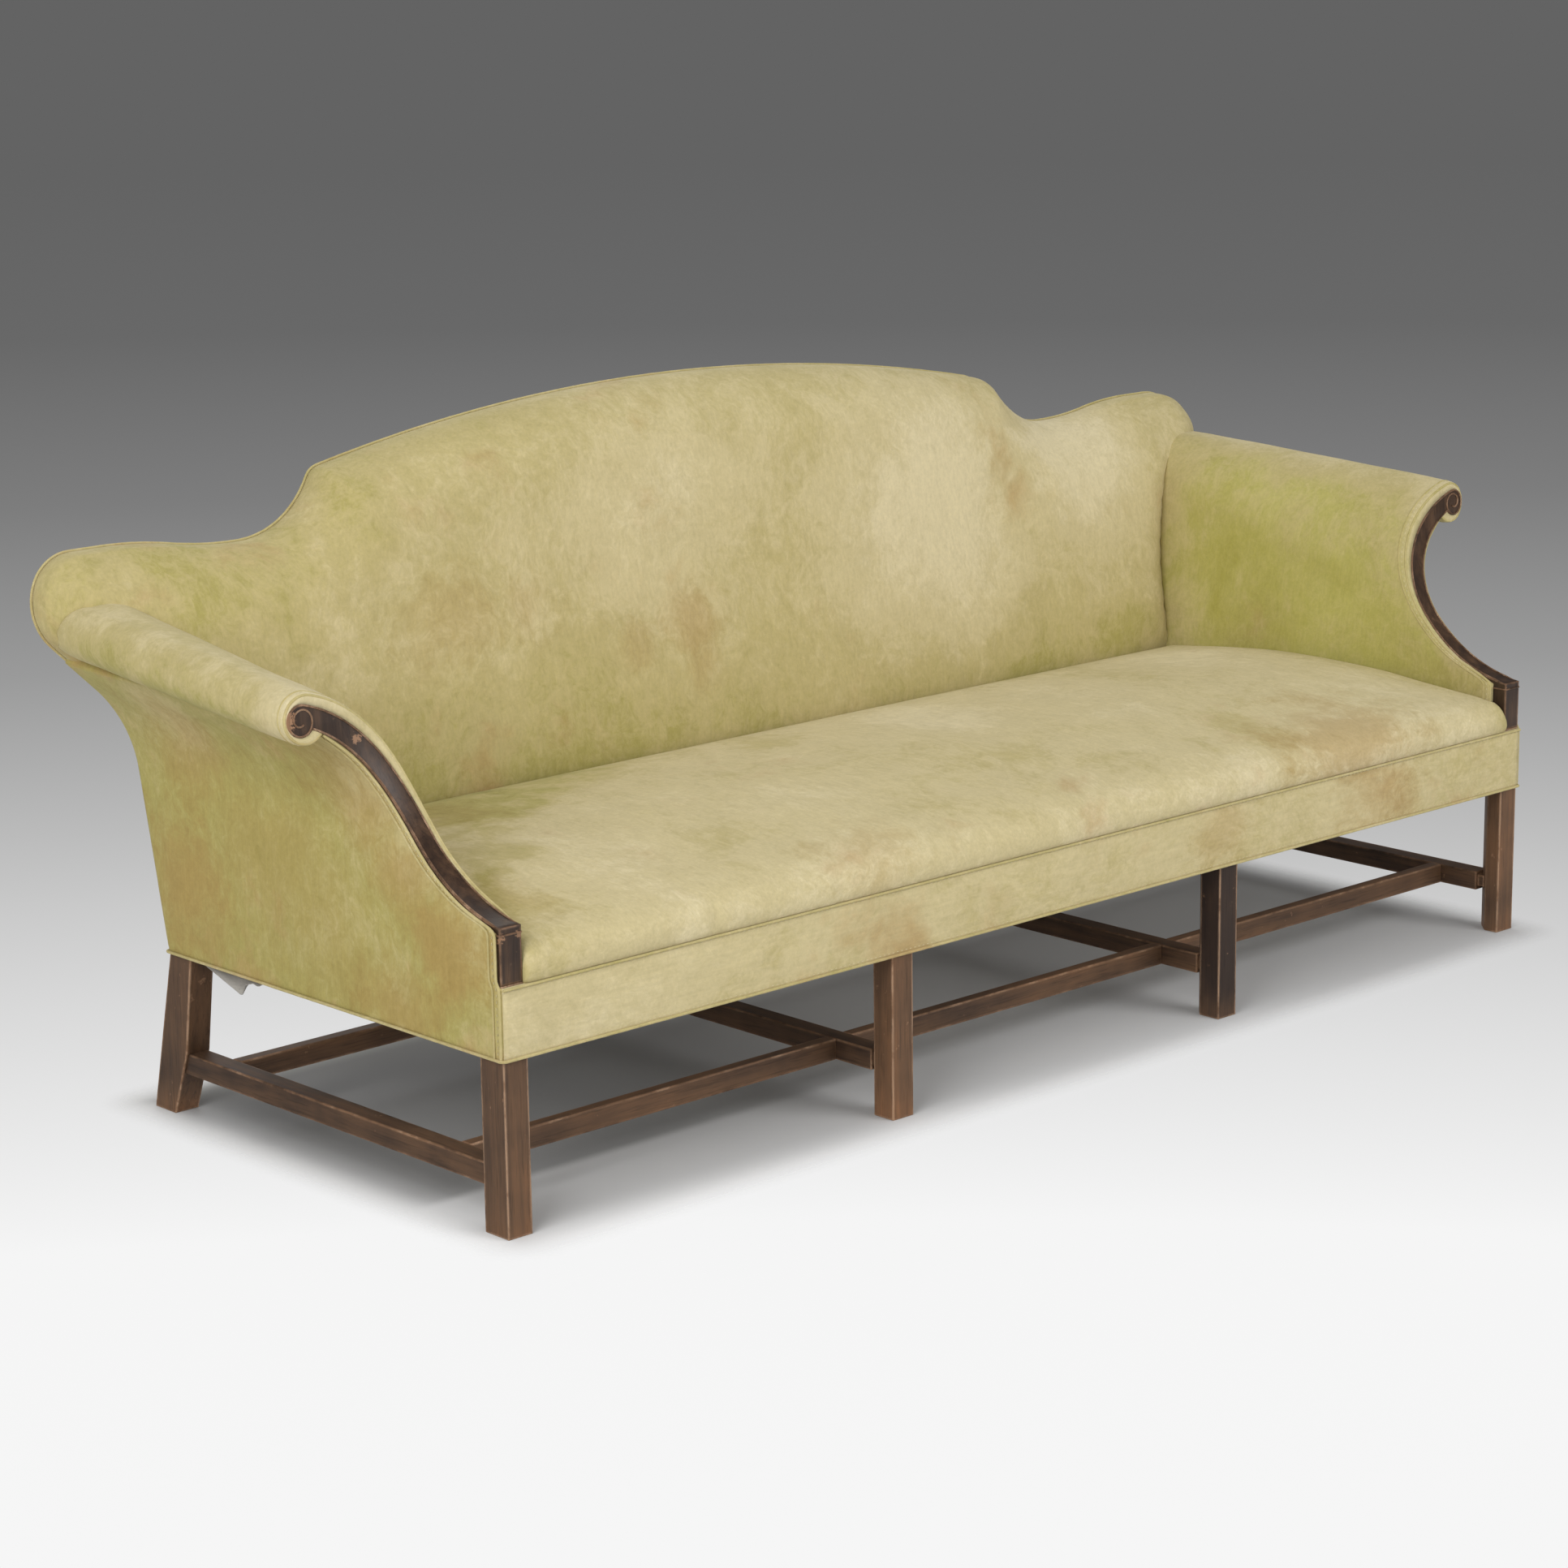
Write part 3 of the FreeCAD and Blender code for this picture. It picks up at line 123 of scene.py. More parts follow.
# A socket that sums can be written with; a name without "Node" in it is a shader node
class Wire:
    def __init__(self, tree, socket=None):
        self.tree, self.socket = tree, socket

    def add(self, kind, inputs=None, out=0, stops=None, **settings):
        node = self.tree.nodes.new(kind if "Node" in kind else "ShaderNode" + kind)
        for name, value in settings.items():
            setattr(node, name, value)
        if stops:
            ramp = node.color_ramp.elements
            while len(ramp) < len(stops):
                ramp.new(0.5)
            for element, (where, colour) in zip(ramp, stops):
                element.position, element.color = where, colour
        for name, value in (inputs or {}).items():
            if isinstance(value, Wire):
                self.tree.links.new(value.socket, node.inputs[name])
            else:
                node.inputs[name].default_value = value
        return Wire(self.tree, node.outputs[out] if node.outputs else None)

    def maths(self, operation, *values):
        return self.add("Math", dict(enumerate(values)), operation=operation)

    def __add__(self, other):
        return self.maths("ADD", self, other)

    def __sub__(self, other):
        return self.maths("SUBTRACT", self, other)

    def __rsub__(self, other):
        return self.maths("SUBTRACT", other, self)

    def __mul__(self, other):
        return self.maths("MULTIPLY", self, other)

    def __truediv__(self, other):
        return self.maths("DIVIDE", self, other)

    def __abs__(self):
        return self.maths("ABSOLUTE", self)

    __radd__ = __add__
    __rmul__ = __mul__

    def least(self, other):
        return self.maths("MINIMUM", self, other)

    def most(self, other):
        return self.maths("MAXIMUM", self, other)

    # A noise's swing to both sides of its middle
    def swing(self, amount):
        return (self - 0.5) * amount

    def ease(self, low, high):
        return self.add("MapRange", {"Value": self, "From Min": low, "From Max": high},
                        interpolation_type="SMOOTHSTEP")

    def blend(self, first, second):
        return self.add("Mix", {0: self, 6: first, 7: second}, out=2, data_type="RGBA")

    def noise(self, scale, detail=2.0, rough=0.5, warp=0.0, out=0):
        return self.add("TexNoise", {"Vector": self, "Scale": scale, "Detail": detail,
                                     "Roughness": rough, "Distortion": warp}, out)

    def stretched(self, scale, turn=(0, 0, 0)):
        return self.add("Mapping", {"Vector": self, "Scale": scale, "Rotation": turn})

    def axis(self, number):
        return self.add("SeparateXYZ", {0: self}, number)

    def vector(self, operation, other, out=0):
        return self.add("VectorMath", {0: self, 1: other}, out, operation=operation)

    def scaled(self, by):
        return self.add("VectorMath", {0: self, 3: by}, operation="SCALE")

    # 1 near a point, 0 past its radius, with a ragged edge between
    def about(self, point, radius, low, high, *ragged):
        far = self.vector("DISTANCE", point, 1) / radius
        return 1.0 - sum(ragged, far).ease(low, high)

    def bumped(self, height, strength, distance, **rest):
        return self.add("Bump", {"Height": height, "Strength": strength, "Distance": distance, **rest})


def newMaterial(name):
    made = bpy.data.materials.new(name)
    made.use_nodes = True
    made.node_tree.nodes.clear()
    return made, Wire(made.node_tree).add("TexCoord", out=3)


def surface(wire, inputs):
    wire.add("OutputMaterial", {"Surface": wire.add("BsdfPrincipled", inputs)})


# Velvet

velvetLook = {
    "moss": (149, 141, 68),
    "olive": (167, 157, 91),
    "sage": (184, 170, 118),
    "straw": (198, 184, 140),
    "cream": (211, 198, 160),
    "umber": (168, 134, 80),
    "leaf": (176, 170, 88),
    "lime": (204, 199, 124),
    "levels": ((0.0, 0.32), (0.28, 0.58), (0.55, 0.85), (0.85, 1.2)),
    "sheen": 0.18,
    "sheenRoughness": 0.5,
    "sheenTint": (232, 226, 204),
    "gloss": 0.2,
    "pileScale": 1100,
    "fineScale": 170,
    "threadScale": 230,
    "napScale": 60,
    "strokeScale": 13,
    "bend": 0.16,
    "patch": 0.60,
    "mottle": 0.48,
    "stroke": 0.28,
    "nap": 0.50,
    "soak": 0.60,
    "bump": (0.4, 0.0012),
}


# Each is (point, radius, amount): spots turn brown; patches turn greener or paler, and the dark ones by the
# seat's creases are painted shade; fresh ones turn a bright green, partly painted light on the inside of the
# right arm
def makeVelvet(name, wearAndShade, stain, lie=2, spots=(), patchesAndShade=(), vary=1.0, freshAndLit=()):
    look = velvetLook
    made, where = newMaterial(name)
    warp = where.noise(3.1, 3.0, 0.55, out=1).vector("SUBTRACT", (0.5, 0.5, 0.5))
    bent = where.vector("ADD", warp.scaled(look["bend"]))
    squeeze, comb = [1.0, 1.0, 1.0], [1.0, 1.0, 1.0]
    squeeze[lie], comb[lie] = 0.75, 0.08
    broad = bent.noise(2.1, 2.0, 0.5)
    middling = bent.noise(11.0, 5.0, 0.6)
    strokes = bent.stretched(squeeze, (0.25, 0.2, 0.25)).noise(look["strokeScale"], 4.0, 0.62, 0.35)
    nap = bent.stretched(squeeze, (0.1, 0.3, 0.2)).noise(look["napScale"], 4.0, 0.75, 0.6)
    threads = where.stretched(comb).noise(look["threadScale"], 2.0, 0.6)
    fine = where.noise(look["fineScale"], 3.0, 0.7)

    cloudy = (broad.swing(look["patch"]) + middling.swing(look["mottle"])) * vary
    # Level from the wearAndShade attribute: paler where the cloth is worn, darker in creases and recesses,
    # where that darkness is painted shade
    level = where.add("Attribute", out=2, attribute_name="wearAndShade") + cloudy
    level = level + strokes.swing(look["stroke"]) + nap.swing(look["nap"]) + wearAndShade
    # Patches: some of the dark ones are painted shade in creases
    for point, radius, amount in patchesAndShade:
        level = level + bent.about(point, radius, 0.2, 1.0, middling.swing(1.4)) * amount
    colour, *shades = [paint(*look[key]) for key in ("moss", "olive", "sage", "straw", "cream")]
    for (low, high), shade in zip(look["levels"], shades):
        colour = level.ease(low, high).blend(colour, shade)

    # Fresh patches: a brighter green, partly painted light
    for point, radius, strength in freshAndLit:
        bright = level.ease(0.05, 0.75).blend(paint(*look["leaf"]), paint(*look["lime"]))
        near = bent.about(point, radius, 0.20, 1.10, middling.swing(1.2), strokes.swing(0.5))
        colour = (near * (1.0 - nap.swing(1.5)) * strength).blend(colour, bright)

    soiled = (bent.noise(3.4, 4.0, 0.6) + middling.swing(0.7)).ease(0.60 - stain, 0.86 - stain)
    ragged = middling.swing(1.6) + strokes.swing(1.2) + nap.swing(1.0)
    for point, radius, strength in spots:
        soiled = soiled.most(bent.about(point, radius, 0.10, 1.05, ragged) * strength)
    colour = (soiled * look["soak"]).blend(colour, paint(*look["umber"]))

    shade = strokes.swing(0.14) + nap.swing(0.20) + fine.swing(0.26) + threads.swing(0.20) + 1.0
    pile = where.noise(look["pileScale"], 2.0, 0.6)
    height = pile * 0.4 + fine * 0.6 + threads * 0.6 + nap * 0.8 + strokes * 1.0
    surface(where, {"Base Color": colour.scaled(shade), "Roughness": 0.9 - level.ease(0.4, 1.3) * 0.1,
                    "Normal": where.bumped(height, *look["bump"]),
                    "Sheen Weight": look["sheen"], "Sheen Roughness": look["sheenRoughness"],
                    "Sheen Tint": paint(*look["sheenTint"]), "Specular IOR Level": look["gloss"]})
    return made


# Wood

woodLook = {
    "black": (50, 36, 28),
    "brown": (102, 75, 53),
    "red": (142, 99, 66),
    "worn": (160, 122, 92),
    "pale": (206, 168, 136),
    "grainScale": 46,
    "grainLength": 0.05,
    "edge": 0.0050,
    "footPaler": (0.06, 0.22),
    "gloss": 0.35,
    "bump": (0.25, 0.0006),
}


def makeWood(name, along, tone, scuffAndHighlight, rough, foot=False, rubs=(), tones=()):
    look = woodLook
    made, where = newMaterial(name)
    squeeze = [1.0, 1.0, 1.0]
    squeeze[along] = look["grainLength"]
    grain = where.stretched(squeeze).noise(look["grainScale"], 5.0, 0.7, 0.4)
    pores = where.stretched([s * 4 for s in squeeze]).noise(look["grainScale"] * 2, 2.0, 0.6)
    level = grain * 0.8 + where.noise(6.0, 4.0, 0.6) * 0.8 + tone - 0.8
    if foot:
        # Paler towards the floor
        high, amount = look["footPaler"]
        level = level + (1.0 - where.axis(2).ease(0.0, high)) * amount
    for point, radius, amount in tones:
        level = level + where.about(point, radius, 0.7, 1.0) * amount
    black, brown, red, worn, pale = (paint(*look[key]) for key in ("black", "brown", "red", "worn", "pale"))
    colour = level.ease(0.15, 0.70).blend(level.ease(-0.25, 0.30).blend(black, brown), red)

    rounded = where.add("Bevel", {"Radius": look["edge"]}, samples=4)
    edge = (1.0 - rounded.vector("DOT_PRODUCT", where.add("NewGeometry", out=1), 1)).ease(0.004, 0.07)
    # Rubbed edges, paler where worn; on the legs the pale line along the edges is also a painted highlight
    rubbedAndHighlit = where.noise(22, 4.0, 0.7) + scuffAndHighlight
    colour = (edge * rubbedAndHighlit.ease(0.34, 0.54) * 0.9).blend(colour, worn)
    colour = (edge * rubbedAndHighlit.ease(0.54, 0.70)).blend(colour, pale)
    knocks = where.noise(55, 3.0, 0.8).ease(0.66, 0.73) * (where.noise(9, 2.0, 0.5) + scuffAndHighlight).ease(0.45, 0.65)
    colour = (knocks * 0.6).blend(colour, worn)
    for point, radius, strength in rubs:
        ragged = where.noise(150, 5.0, 0.75).swing(3.6) + rubbedAndHighlit.swing(1.2)
        colour = (where.about(point, radius, 0.62, 0.9, ragged) * strength).blend(colour, worn)

    height = grain * 0.6 - pores.ease(0.5, 0.7) * 0.5
    surface(where, {"Base Color": colour.scaled(1.0 - pores.ease(0.52, 0.7) * 0.3),
                    "Roughness": grain * 0.2 + rough + edge * 0.1,
                    "Normal": where.bumped(height, *look["bump"], Normal=rounded),
                    "Specular IOR Level": look["gloss"]})
    return made


# Plain materials for cloth under the covers, and metal

def makeCanvas(name, colour, threads):
    made, where = newMaterial(name)
    across = where.stretched((threads, 1, threads * 0.08)).noise(1.0, 2.0, 0.5)
    down = where.stretched((threads * 0.08, 1, threads)).noise(1.0, 2.0, 0.5)
    soiled = where.noise(5.0, 4.0, 0.6)
    shade = across * 0.25 + down * 0.25 + soiled * 0.4 + 0.55
    tinted = where.add("VectorMath", {0: paint(*colour)[:3], 3: shade}, operation="SCALE")
    surface(where, {"Base Color": tinted, "Roughness": soiled * 0.1 + 0.85,
                    "Normal": where.bumped(across + down, 0.4, 0.0006)})
    return made


def makeMetal(name, colour, rust):
    made, where = newMaterial(name)
    spots = where.noise(300, 4.0, 0.7)
    rusty = spots.ease(0.5, 0.7)
    surface(where, {"Base Color": rusty.blend(paint(*colour), paint(*rust)), "Metallic": 1.0 - rusty,
                    "Roughness": spots * 0.3 + 0.35, "Normal": where.bumped(spots, 0.3, 0.0004)})
    return made


def nodeTree(name, sizes):
    tree = bpy.data.node_groups.new(name, "GeometryNodeTree")
    for way in ("INPUT", "OUTPUT"):
        tree.interface.new_socket("Geometry", in_out=way, socket_type="NodeSocketGeometry")
    for label in sizes:
        tree.interface.new_socket(label, in_out="INPUT", socket_type="NodeSocketFloat")
    tree.interface.new_socket("Finish", in_out="INPUT", socket_type="NodeSocketMaterial")
    given = tree.nodes.new("NodeGroupInput")
    return tree, {item.name: Wire(tree, given.outputs[item.name])
                  for item in tree.interface.items_tree if item.in_out == "INPUT"}


def treeEnd(tree, shape, finish):
    whole = shape.add("GeometryNodeRealizeInstances", {0: shape})
    painted = whole.add("GeometryNodeSetMaterial", {"Geometry": whole, "Material": finish})
    painted.add("NodeGroupOutput", {0: painted})
    return tree


# A round cord along a path, a little uneven
def cordTree():
    tree, given = nodeTree("welt", ("Radius", "Step", "Uneven"))
    path = given["Geometry"]
    even = path.add("GeometryNodeResampleCurve", {"Curve": path, "Length": given["Step"]}, mode="LENGTH")
    ring = path.add("GeometryNodeCurvePrimitiveCircle", {"Resolution": 10, "Radius": given["Radius"]})
    tube = path.add("GeometryNodeCurveToMesh", {"Curve": even, "Profile Curve": ring, "Fill Caps": True})
    spot = path.add("GeometryNodeInputPosition")
    wobble = path.add("TexNoise", {"Vector": spot, "Scale": 90.0, "Detail": 2.0}, out=1)
    step = wobble.vector("SUBTRACT", (0.5, 0.5, 0.5)).scaled(given["Uneven"] * 2.0)
    tube = path.add("GeometryNodeSetPosition", {"Geometry": tube, "Offset": step})
    tube = path.add("GeometryNodeSetShadeSmooth", {0: tube})
    return treeEnd(tree, tube, given["Finish"])


# Small domed solids at even steps along a path, such as stitches and tack heads
def studTree(name, segments, rings, follow):
    tree, given = nodeTree(name, ("Spacing", "Radius", "Height"))
    path = given["Geometry"]
    spots = path.add("GeometryNodeCurveToPoints", {"Curve": path, "Length": given["Spacing"]}, mode="LENGTH")
    stud = path.add("GeometryNodeMeshUVSphere", {"Segments": segments, "Rings": rings, "Radius": 1.0})
    size = path.add("CombineXYZ", {0: given["Radius"], 1: given["Radius"], 2: given["Height"]})
    stud = path.add("GeometryNodeTransform", {"Geometry": stud, "Scale": size})
    places = {"Points": spots, "Instance": stud}
    if follow:
        places["Rotation"] = Wire(tree, spots.socket.node.outputs["Rotation"])
    copies = path.add("GeometryNodeInstanceOnPoints", places)
    return treeEnd(tree, copies, given["Finish"])


def drawn(name, lines, tree, values, rings=()):
    path = bpy.data.curves.new(name + "Path", "CURVE")
    path.dimensions = "3D"
    for points in [*rings, *lines]:
        spline = path.splines.new("POLY")
        spline.points.add(len(points) - 1)
        spline.points.foreach_set("co", np.insert(points, 3, 1, axis=1).ravel())
        spline.use_cyclic_u = len(path.splines) <= len(rings)
    guide = added(name + "Path", path)
    modifier = guide.modifiers.new("build", "NODES")
    modifier.node_group = tree
    for item in tree.interface.items_tree:
        if item.in_out == "INPUT" and item.name in values:
            modifier[item.identifier] = values[item.name]
    evaluated = guide.evaluated_get(bpy.context.evaluated_depsgraph_get())
    piece = added(name, bpy.data.meshes.new_from_object(evaluated))
    bpy.data.objects.remove(guide)
    return piece


# Mesh helpers

def solidMesh(name, points, faces, finish, wearAndShade):
    mesh = bpy.data.meshes.new(name)
    mesh.from_pydata(points, [], faces)
    mesh.attributes.new("wearAndShade", "FLOAT", "POINT").data.foreach_set("value", np.asarray(wearAndShade, np.float32))
    work = bmesh.new()
    work.from_mesh(mesh)
    bmesh.ops.remove_doubles(work, verts=work.verts, dist=1e-6)
    bmesh.ops.recalc_face_normals(work, faces=work.faces)
    work.to_mesh(mesh)
    work.free()
    mesh.polygons.foreach_set("use_smooth", [True] * len(mesh.polygons))
    mesh.materials.append(finish)
    return added(name, mesh)


# Closed pad between an outer and an inner grid of the same size
def shell(name, outer, inner, finish, wearAndShade):
    rows, columns = outer.shape[:2]
    count = rows * columns
    points = np.concatenate([outer.reshape(-1, 3), inner.reshape(-1, 3)])
    index = np.arange(count).reshape(rows, columns)
    quads = np.stack([index[:-1, :-1], index[:-1, 1:], index[1:, 1:], index[1:, :-1]], -1).reshape(-1, 4)
    quads = np.stack([quads, quads[:, ::-1] + count], 1).reshape(-1, 4)
    rim = np.concatenate([index[0], index[1:, -1], index[-1, -2::-1], index[-2:0:-1, 0]])
    ahead = np.roll(rim, -1)
    walls = np.stack([ahead, rim, rim + count, ahead + count], -1)
    levels = np.broadcast_to(wearAndShade, (rows, columns)).ravel()
    return solidMesh(name, points, np.concatenate([quads, walls]).tolist(), finish, np.tile(levels, 2))


# A smooth curve through the points, then evenly spaced ones on it
def smoothLine(points, count):
    points = np.array(points, float)
    padded = np.concatenate([[2 * points[0] - points[1]], points, [2 * points[-1] - points[-2]]])
    fine = []
    for a, b, c, d in zip(padded, padded[1:], padded[2:], padded[3:]):
        for t in np.linspace(0, 1, 24, endpoint=False):
            fine.append(0.5 * (2 * b + (c - a) * t + (2 * a - 5 * b + 4 * c - d) * t * t
                               + (3 * b - a - 3 * c + d) * t ** 3))
    fine = np.array(fine + [points[-1]])
    length = np.concatenate([[0], np.cumsum(np.linalg.norm(np.diff(fine, axis=0), axis=1))])
    at = np.linspace(0, length[-1], count)
    return np.stack([np.interp(at, length, fine[:, k]) for k in range(points.shape[1])], 1)


# An amount that sets in from the low value to the high one
def partly(value, amount, low, high):
    return amount * rising(value, low, high)


# Unevenness at each point, from an (amount, scale, seed) for each size of lump
def lumps(x, y, z, *sizes):
    points = np.stack(np.broadcast_arrays(x, y, z), -1)
    total = np.zeros(points.shape[:-1])
    for amount, scale, seed in sizes:
        shift = Vector((seed, seed * 2.7, -seed))
        levels = [noise.noise(Vector(p) * scale + shift) for p in points.reshape(-1, 3)]
        total = total + amount * np.reshape(levels, total.shape)
    return total


# The back: an outline seen from the front, on a raked face

backShape = {
    "rake": 12.0,
    "rearDeep": 0.750,
    "rearFoot": 0.244,
    "thick": 0.100,
    "crest": 0.950,
    "earTop": 0.811,
    "earRadius": 0.074,
    "earReach": 0.128,
    "shoulder": 0.883,
    "shoulderRadius": 0.034,
    "dip": 0.791,
    "dipRadius": 0.170,
    "dipSetback": 0.225,
    "sideSweep": 0.173,
    "sideRadius": 0.1758,
    "sideHeight": 0.500,
    "foot": 0.336,
    "step": 0.009,
    "rim": 0.095,
    "earRim": 0.150,
    "earFrom": (0.86, 1.06),
    "edge": 0.016,
    "insets": (0.030, 0.024, 0.018, 0.0125, 0.008, 0.0045, 0.0024, 0.0010, 0),
    "least": 0.0338,
    "edgeRound": 0.0024,
    "behind": ((0, 0.004), (0.0009, 0.0006), (0.0026, 0.0006),
               (0.0028, 0.003), (0.0034, 0.030), (0.010, 0.036)),
    "pillow": 0.005,
    "pillowReach": 0.05,
    "belly": 0.006,
    "bellyReach": 0.12,
    "crease": 0.009,
    "creaseReach": 0.011,
    "lump": 0.0022,
    "lumpSizes": ((1, 5.0, 3.1), (0.5, 13.0, 7.7)),
    "grid": 0.012,
    "wearAndShade": (0.50, 0.08),
    "paleUp": (0.24, 0.42, 0.62),
    "wearTop": (-0.16, 0.78, 0.93),
    "creaseShadeByArms": (-0.12, 0.8, 1.0),
}
rakeTan = math.tan(math.radians(backShape["rake"]))
rakeCos = math.cos(math.radians(backShape["rake"]))


def rearDeep(height):
    return backShape["rearDeep"] + rakeTan * (height - backShape["rearFoot"])


def arcLine(centre, radius, first, last, step):
    count = max(int(abs(math.radians(last - first)) * radius / step), 2)
    return [turned(centre, radius, mixed(first, last, i / count)) for i in range(count)]


def straight(first, last, count):
    return [mixed(first, last, i / count) for i in range(count)]


def heading(start, end):
    return math.degrees(cmath.phase(end - start))


def backHalf():
    s = backShape
    dip = complex(halfFrame - s["dipSetback"], s["dip"] + s["dipRadius"])
    run, rise = dip.real - s["dipRadius"], s["crest"] - s["shoulder"]
    humpRadius = (run ** 2 + rise ** 2) / (2 * rise)
    hump = complex(0, s["crest"] - humpRadius)
    ear = complex(halfFrame + s["earReach"] - s["earRadius"], s["earTop"] - s["earRadius"])
    side = complex(halfFrame + s["sideSweep"], s["sideHeight"])
    fromHump, fromDip = humpRadius - s["shoulderRadius"], s["dipRadius"] + s["shoulderRadius"]
    span = dip - hump
    along = (fromHump ** 2 - fromDip ** 2 + abs(span) ** 2) / (2 * abs(span))
    unit = span / abs(span)
    shoulder = hump + unit * along + unit * 1j * math.sqrt(fromHump ** 2 - along ** 2)
    slopeRun, slopeRise = s["dipSetback"] / 2, (s["earTop"] - s["dip"]) / 2
    slopeRadius = (slopeRun ** 2 + slopeRise ** 2) / (2 * slopeRise)
    slopeTurn = math.degrees(math.asin(slopeRun / slopeRadius))
    flank = heading(ear, side) + math.degrees(math.acos((s["earRadius"] + s["sideRadius"]) / abs(side - ear)))
    humpTurn, dipTurn = heading(hump, shoulder), heading(dip, shoulder) + 360
    waist, step = side - s["sideRadius"], s["step"]
    corner = complex(waist.real, s["foot"])
    line = arcLine(hump, humpRadius, 90, humpTurn, step)
    line += arcLine(shoulder, s["shoulderRadius"], humpTurn, dipTurn - 180, step / 2)
    line += arcLine(dip, s["dipRadius"], dipTurn, 270, step)
    line += arcLine(complex(dip.real, s["dip"] + slopeRadius), slopeRadius, 270, 270 + slopeTurn, step)
    line += arcLine(complex(halfFrame, s["earTop"] - slopeRadius), slopeRadius, 90 + slopeTurn, 90, step)
    line += straight(complex(halfFrame, s["earTop"]), turned(ear, s["earRadius"], 90), 6)
    line += arcLine(ear, s["earRadius"], 90, flank, step)
    line += straight(turned(ear, s["earRadius"], flank), turned(side, s["sideRadius"], flank + 180), 9)
    line += arcLine(side, s["sideRadius"], flank + 180, 180, step)
    return line + straight(waist, corner, 16), corner


def flat(spots):
    return np.array([(spot.real, spot.imag) for spot in spots])


halfLine, footCorner = backHalf()
footLine = straight(footCorner, -footCorner.conjugate(), 180)
leftLine = [-spot.conjugate() for spot in [footCorner] + halfLine[:0:-1]]
backLoop = flat(halfLine + footLine + leftLine)


def inwards(loop):
    ahead = np.roll(loop, -1, 0) - np.roll(loop, 1, 0)
    ahead /= np.linalg.norm(ahead, axis=1)[:, None]
    return np.stack([ahead[:, 1], -ahead[:, 0]], 1)


# Distance from the outline, negative outside it
def edgeDistance(x, z, loop=backLoop):
    x, z = np.asarray(x), np.asarray(z)
    best = np.full(x.shape, 9.0)
    inside = np.zeros(x.shape, bool)
    for (sx, sz), (dx, dz) in zip(loop, np.roll(loop, -1, 0) - loop):
        t = np.clip(((x - sx) * dx + (z - sz) * dz) / max(dx * dx + dz * dz, 1e-12), 0, 1)
        best = np.minimum(best, np.hypot(x - sx - t * dx, z - sz - t * dz))
        if dz:
            inside ^= ((sz > z) != (sz + dz > z)) & (x < sx + (z - sz) * dx / dz)
    return np.where(inside, best, -best)


# Depth of the padded face in front of the raked rear, from the distance to the outline
def padDepth(x, distance, toArm=9.0):
    s = backShape
    wide = rising(np.abs(x), *s["earFrom"])
    full = np.sqrt(1 - (1 - rising(distance, 0, mixed(s["rim"], s["earRim"], wide))) ** 2)
    pillow = s["pillow"] * np.exp(-np.maximum(distance, 0) / s["pillowReach"])
    crease = s["crease"] * np.exp(-toArm / s["creaseReach"])
    depth = mixed(s["edge"], s["thick"], full) - (pillow + crease) * full
    return np.maximum(depth, mixed(s["edge"], s["least"], rising(distance, 0, s["edgeRound"]) ** 0.5))


def backPoint(spots, depth):
    x, z = spots.T
    return np.stack([x, faceY + rearDeep(z) - depth / rakeCos, z], -1)


# The loop's inside as triangles, with points spaced evenly over it
def filled(loop, spacing=None):
    inner = np.empty((0, 2))
    if spacing:
        low, high = loop.min(0), loop.max(0)
        x, z = np.meshgrid(np.arange(low[0], high[0], spacing), np.arange(low[1], high[1], spacing))
        x = x + (np.arange(len(x)) % 2)[:, None] * spacing / 2
        keep = edgeDistance(x, z, loop) > spacing * 0.6
        inner = np.stack([x[keep], z[keep]], 1)
    points = [Vector(p) for p in np.concatenate([loop, inner])]
    corners, edges, faces, *rest = geometry.delaunay_2d_cdt(points, [], [list(range(len(loop)))], 1, 1e-7)
    return np.array(corners), faces


def ringsAndFills(name, rings, fills, finish, wearAndShade):
    count, faces = len(rings[0]), []
    for k in range(len(rings) - 1):
        for i in range(count):
            j = (i + 1) % count
            faces.append([v + k * count for v in (i, j, j + count, i + count)])
    total = count * len(rings)
    for corners, triangles in fills:
        faces += [[v + total for v in face] for face in triangles]
        total += len(corners)
    points = np.concatenate(rings + [corners for corners, triangles in fills])
    return solidMesh(name, points, faces, finish, wearAndShade(points))


# The outline moved inwards, kept square at the two lower corners
def backInset(inset):
    spot = backLoop + inwards(backLoop) * inset
    low = spot[:, 1] < footCorner.imag + 0.08
    reach = footCorner.real - inset
    across = np.where(low, np.clip(spot[:, 0], -reach, reach), spot[:, 0])
    return np.stack([across, np.maximum(spot[:, 1], footCorner.imag + inset)], 1)


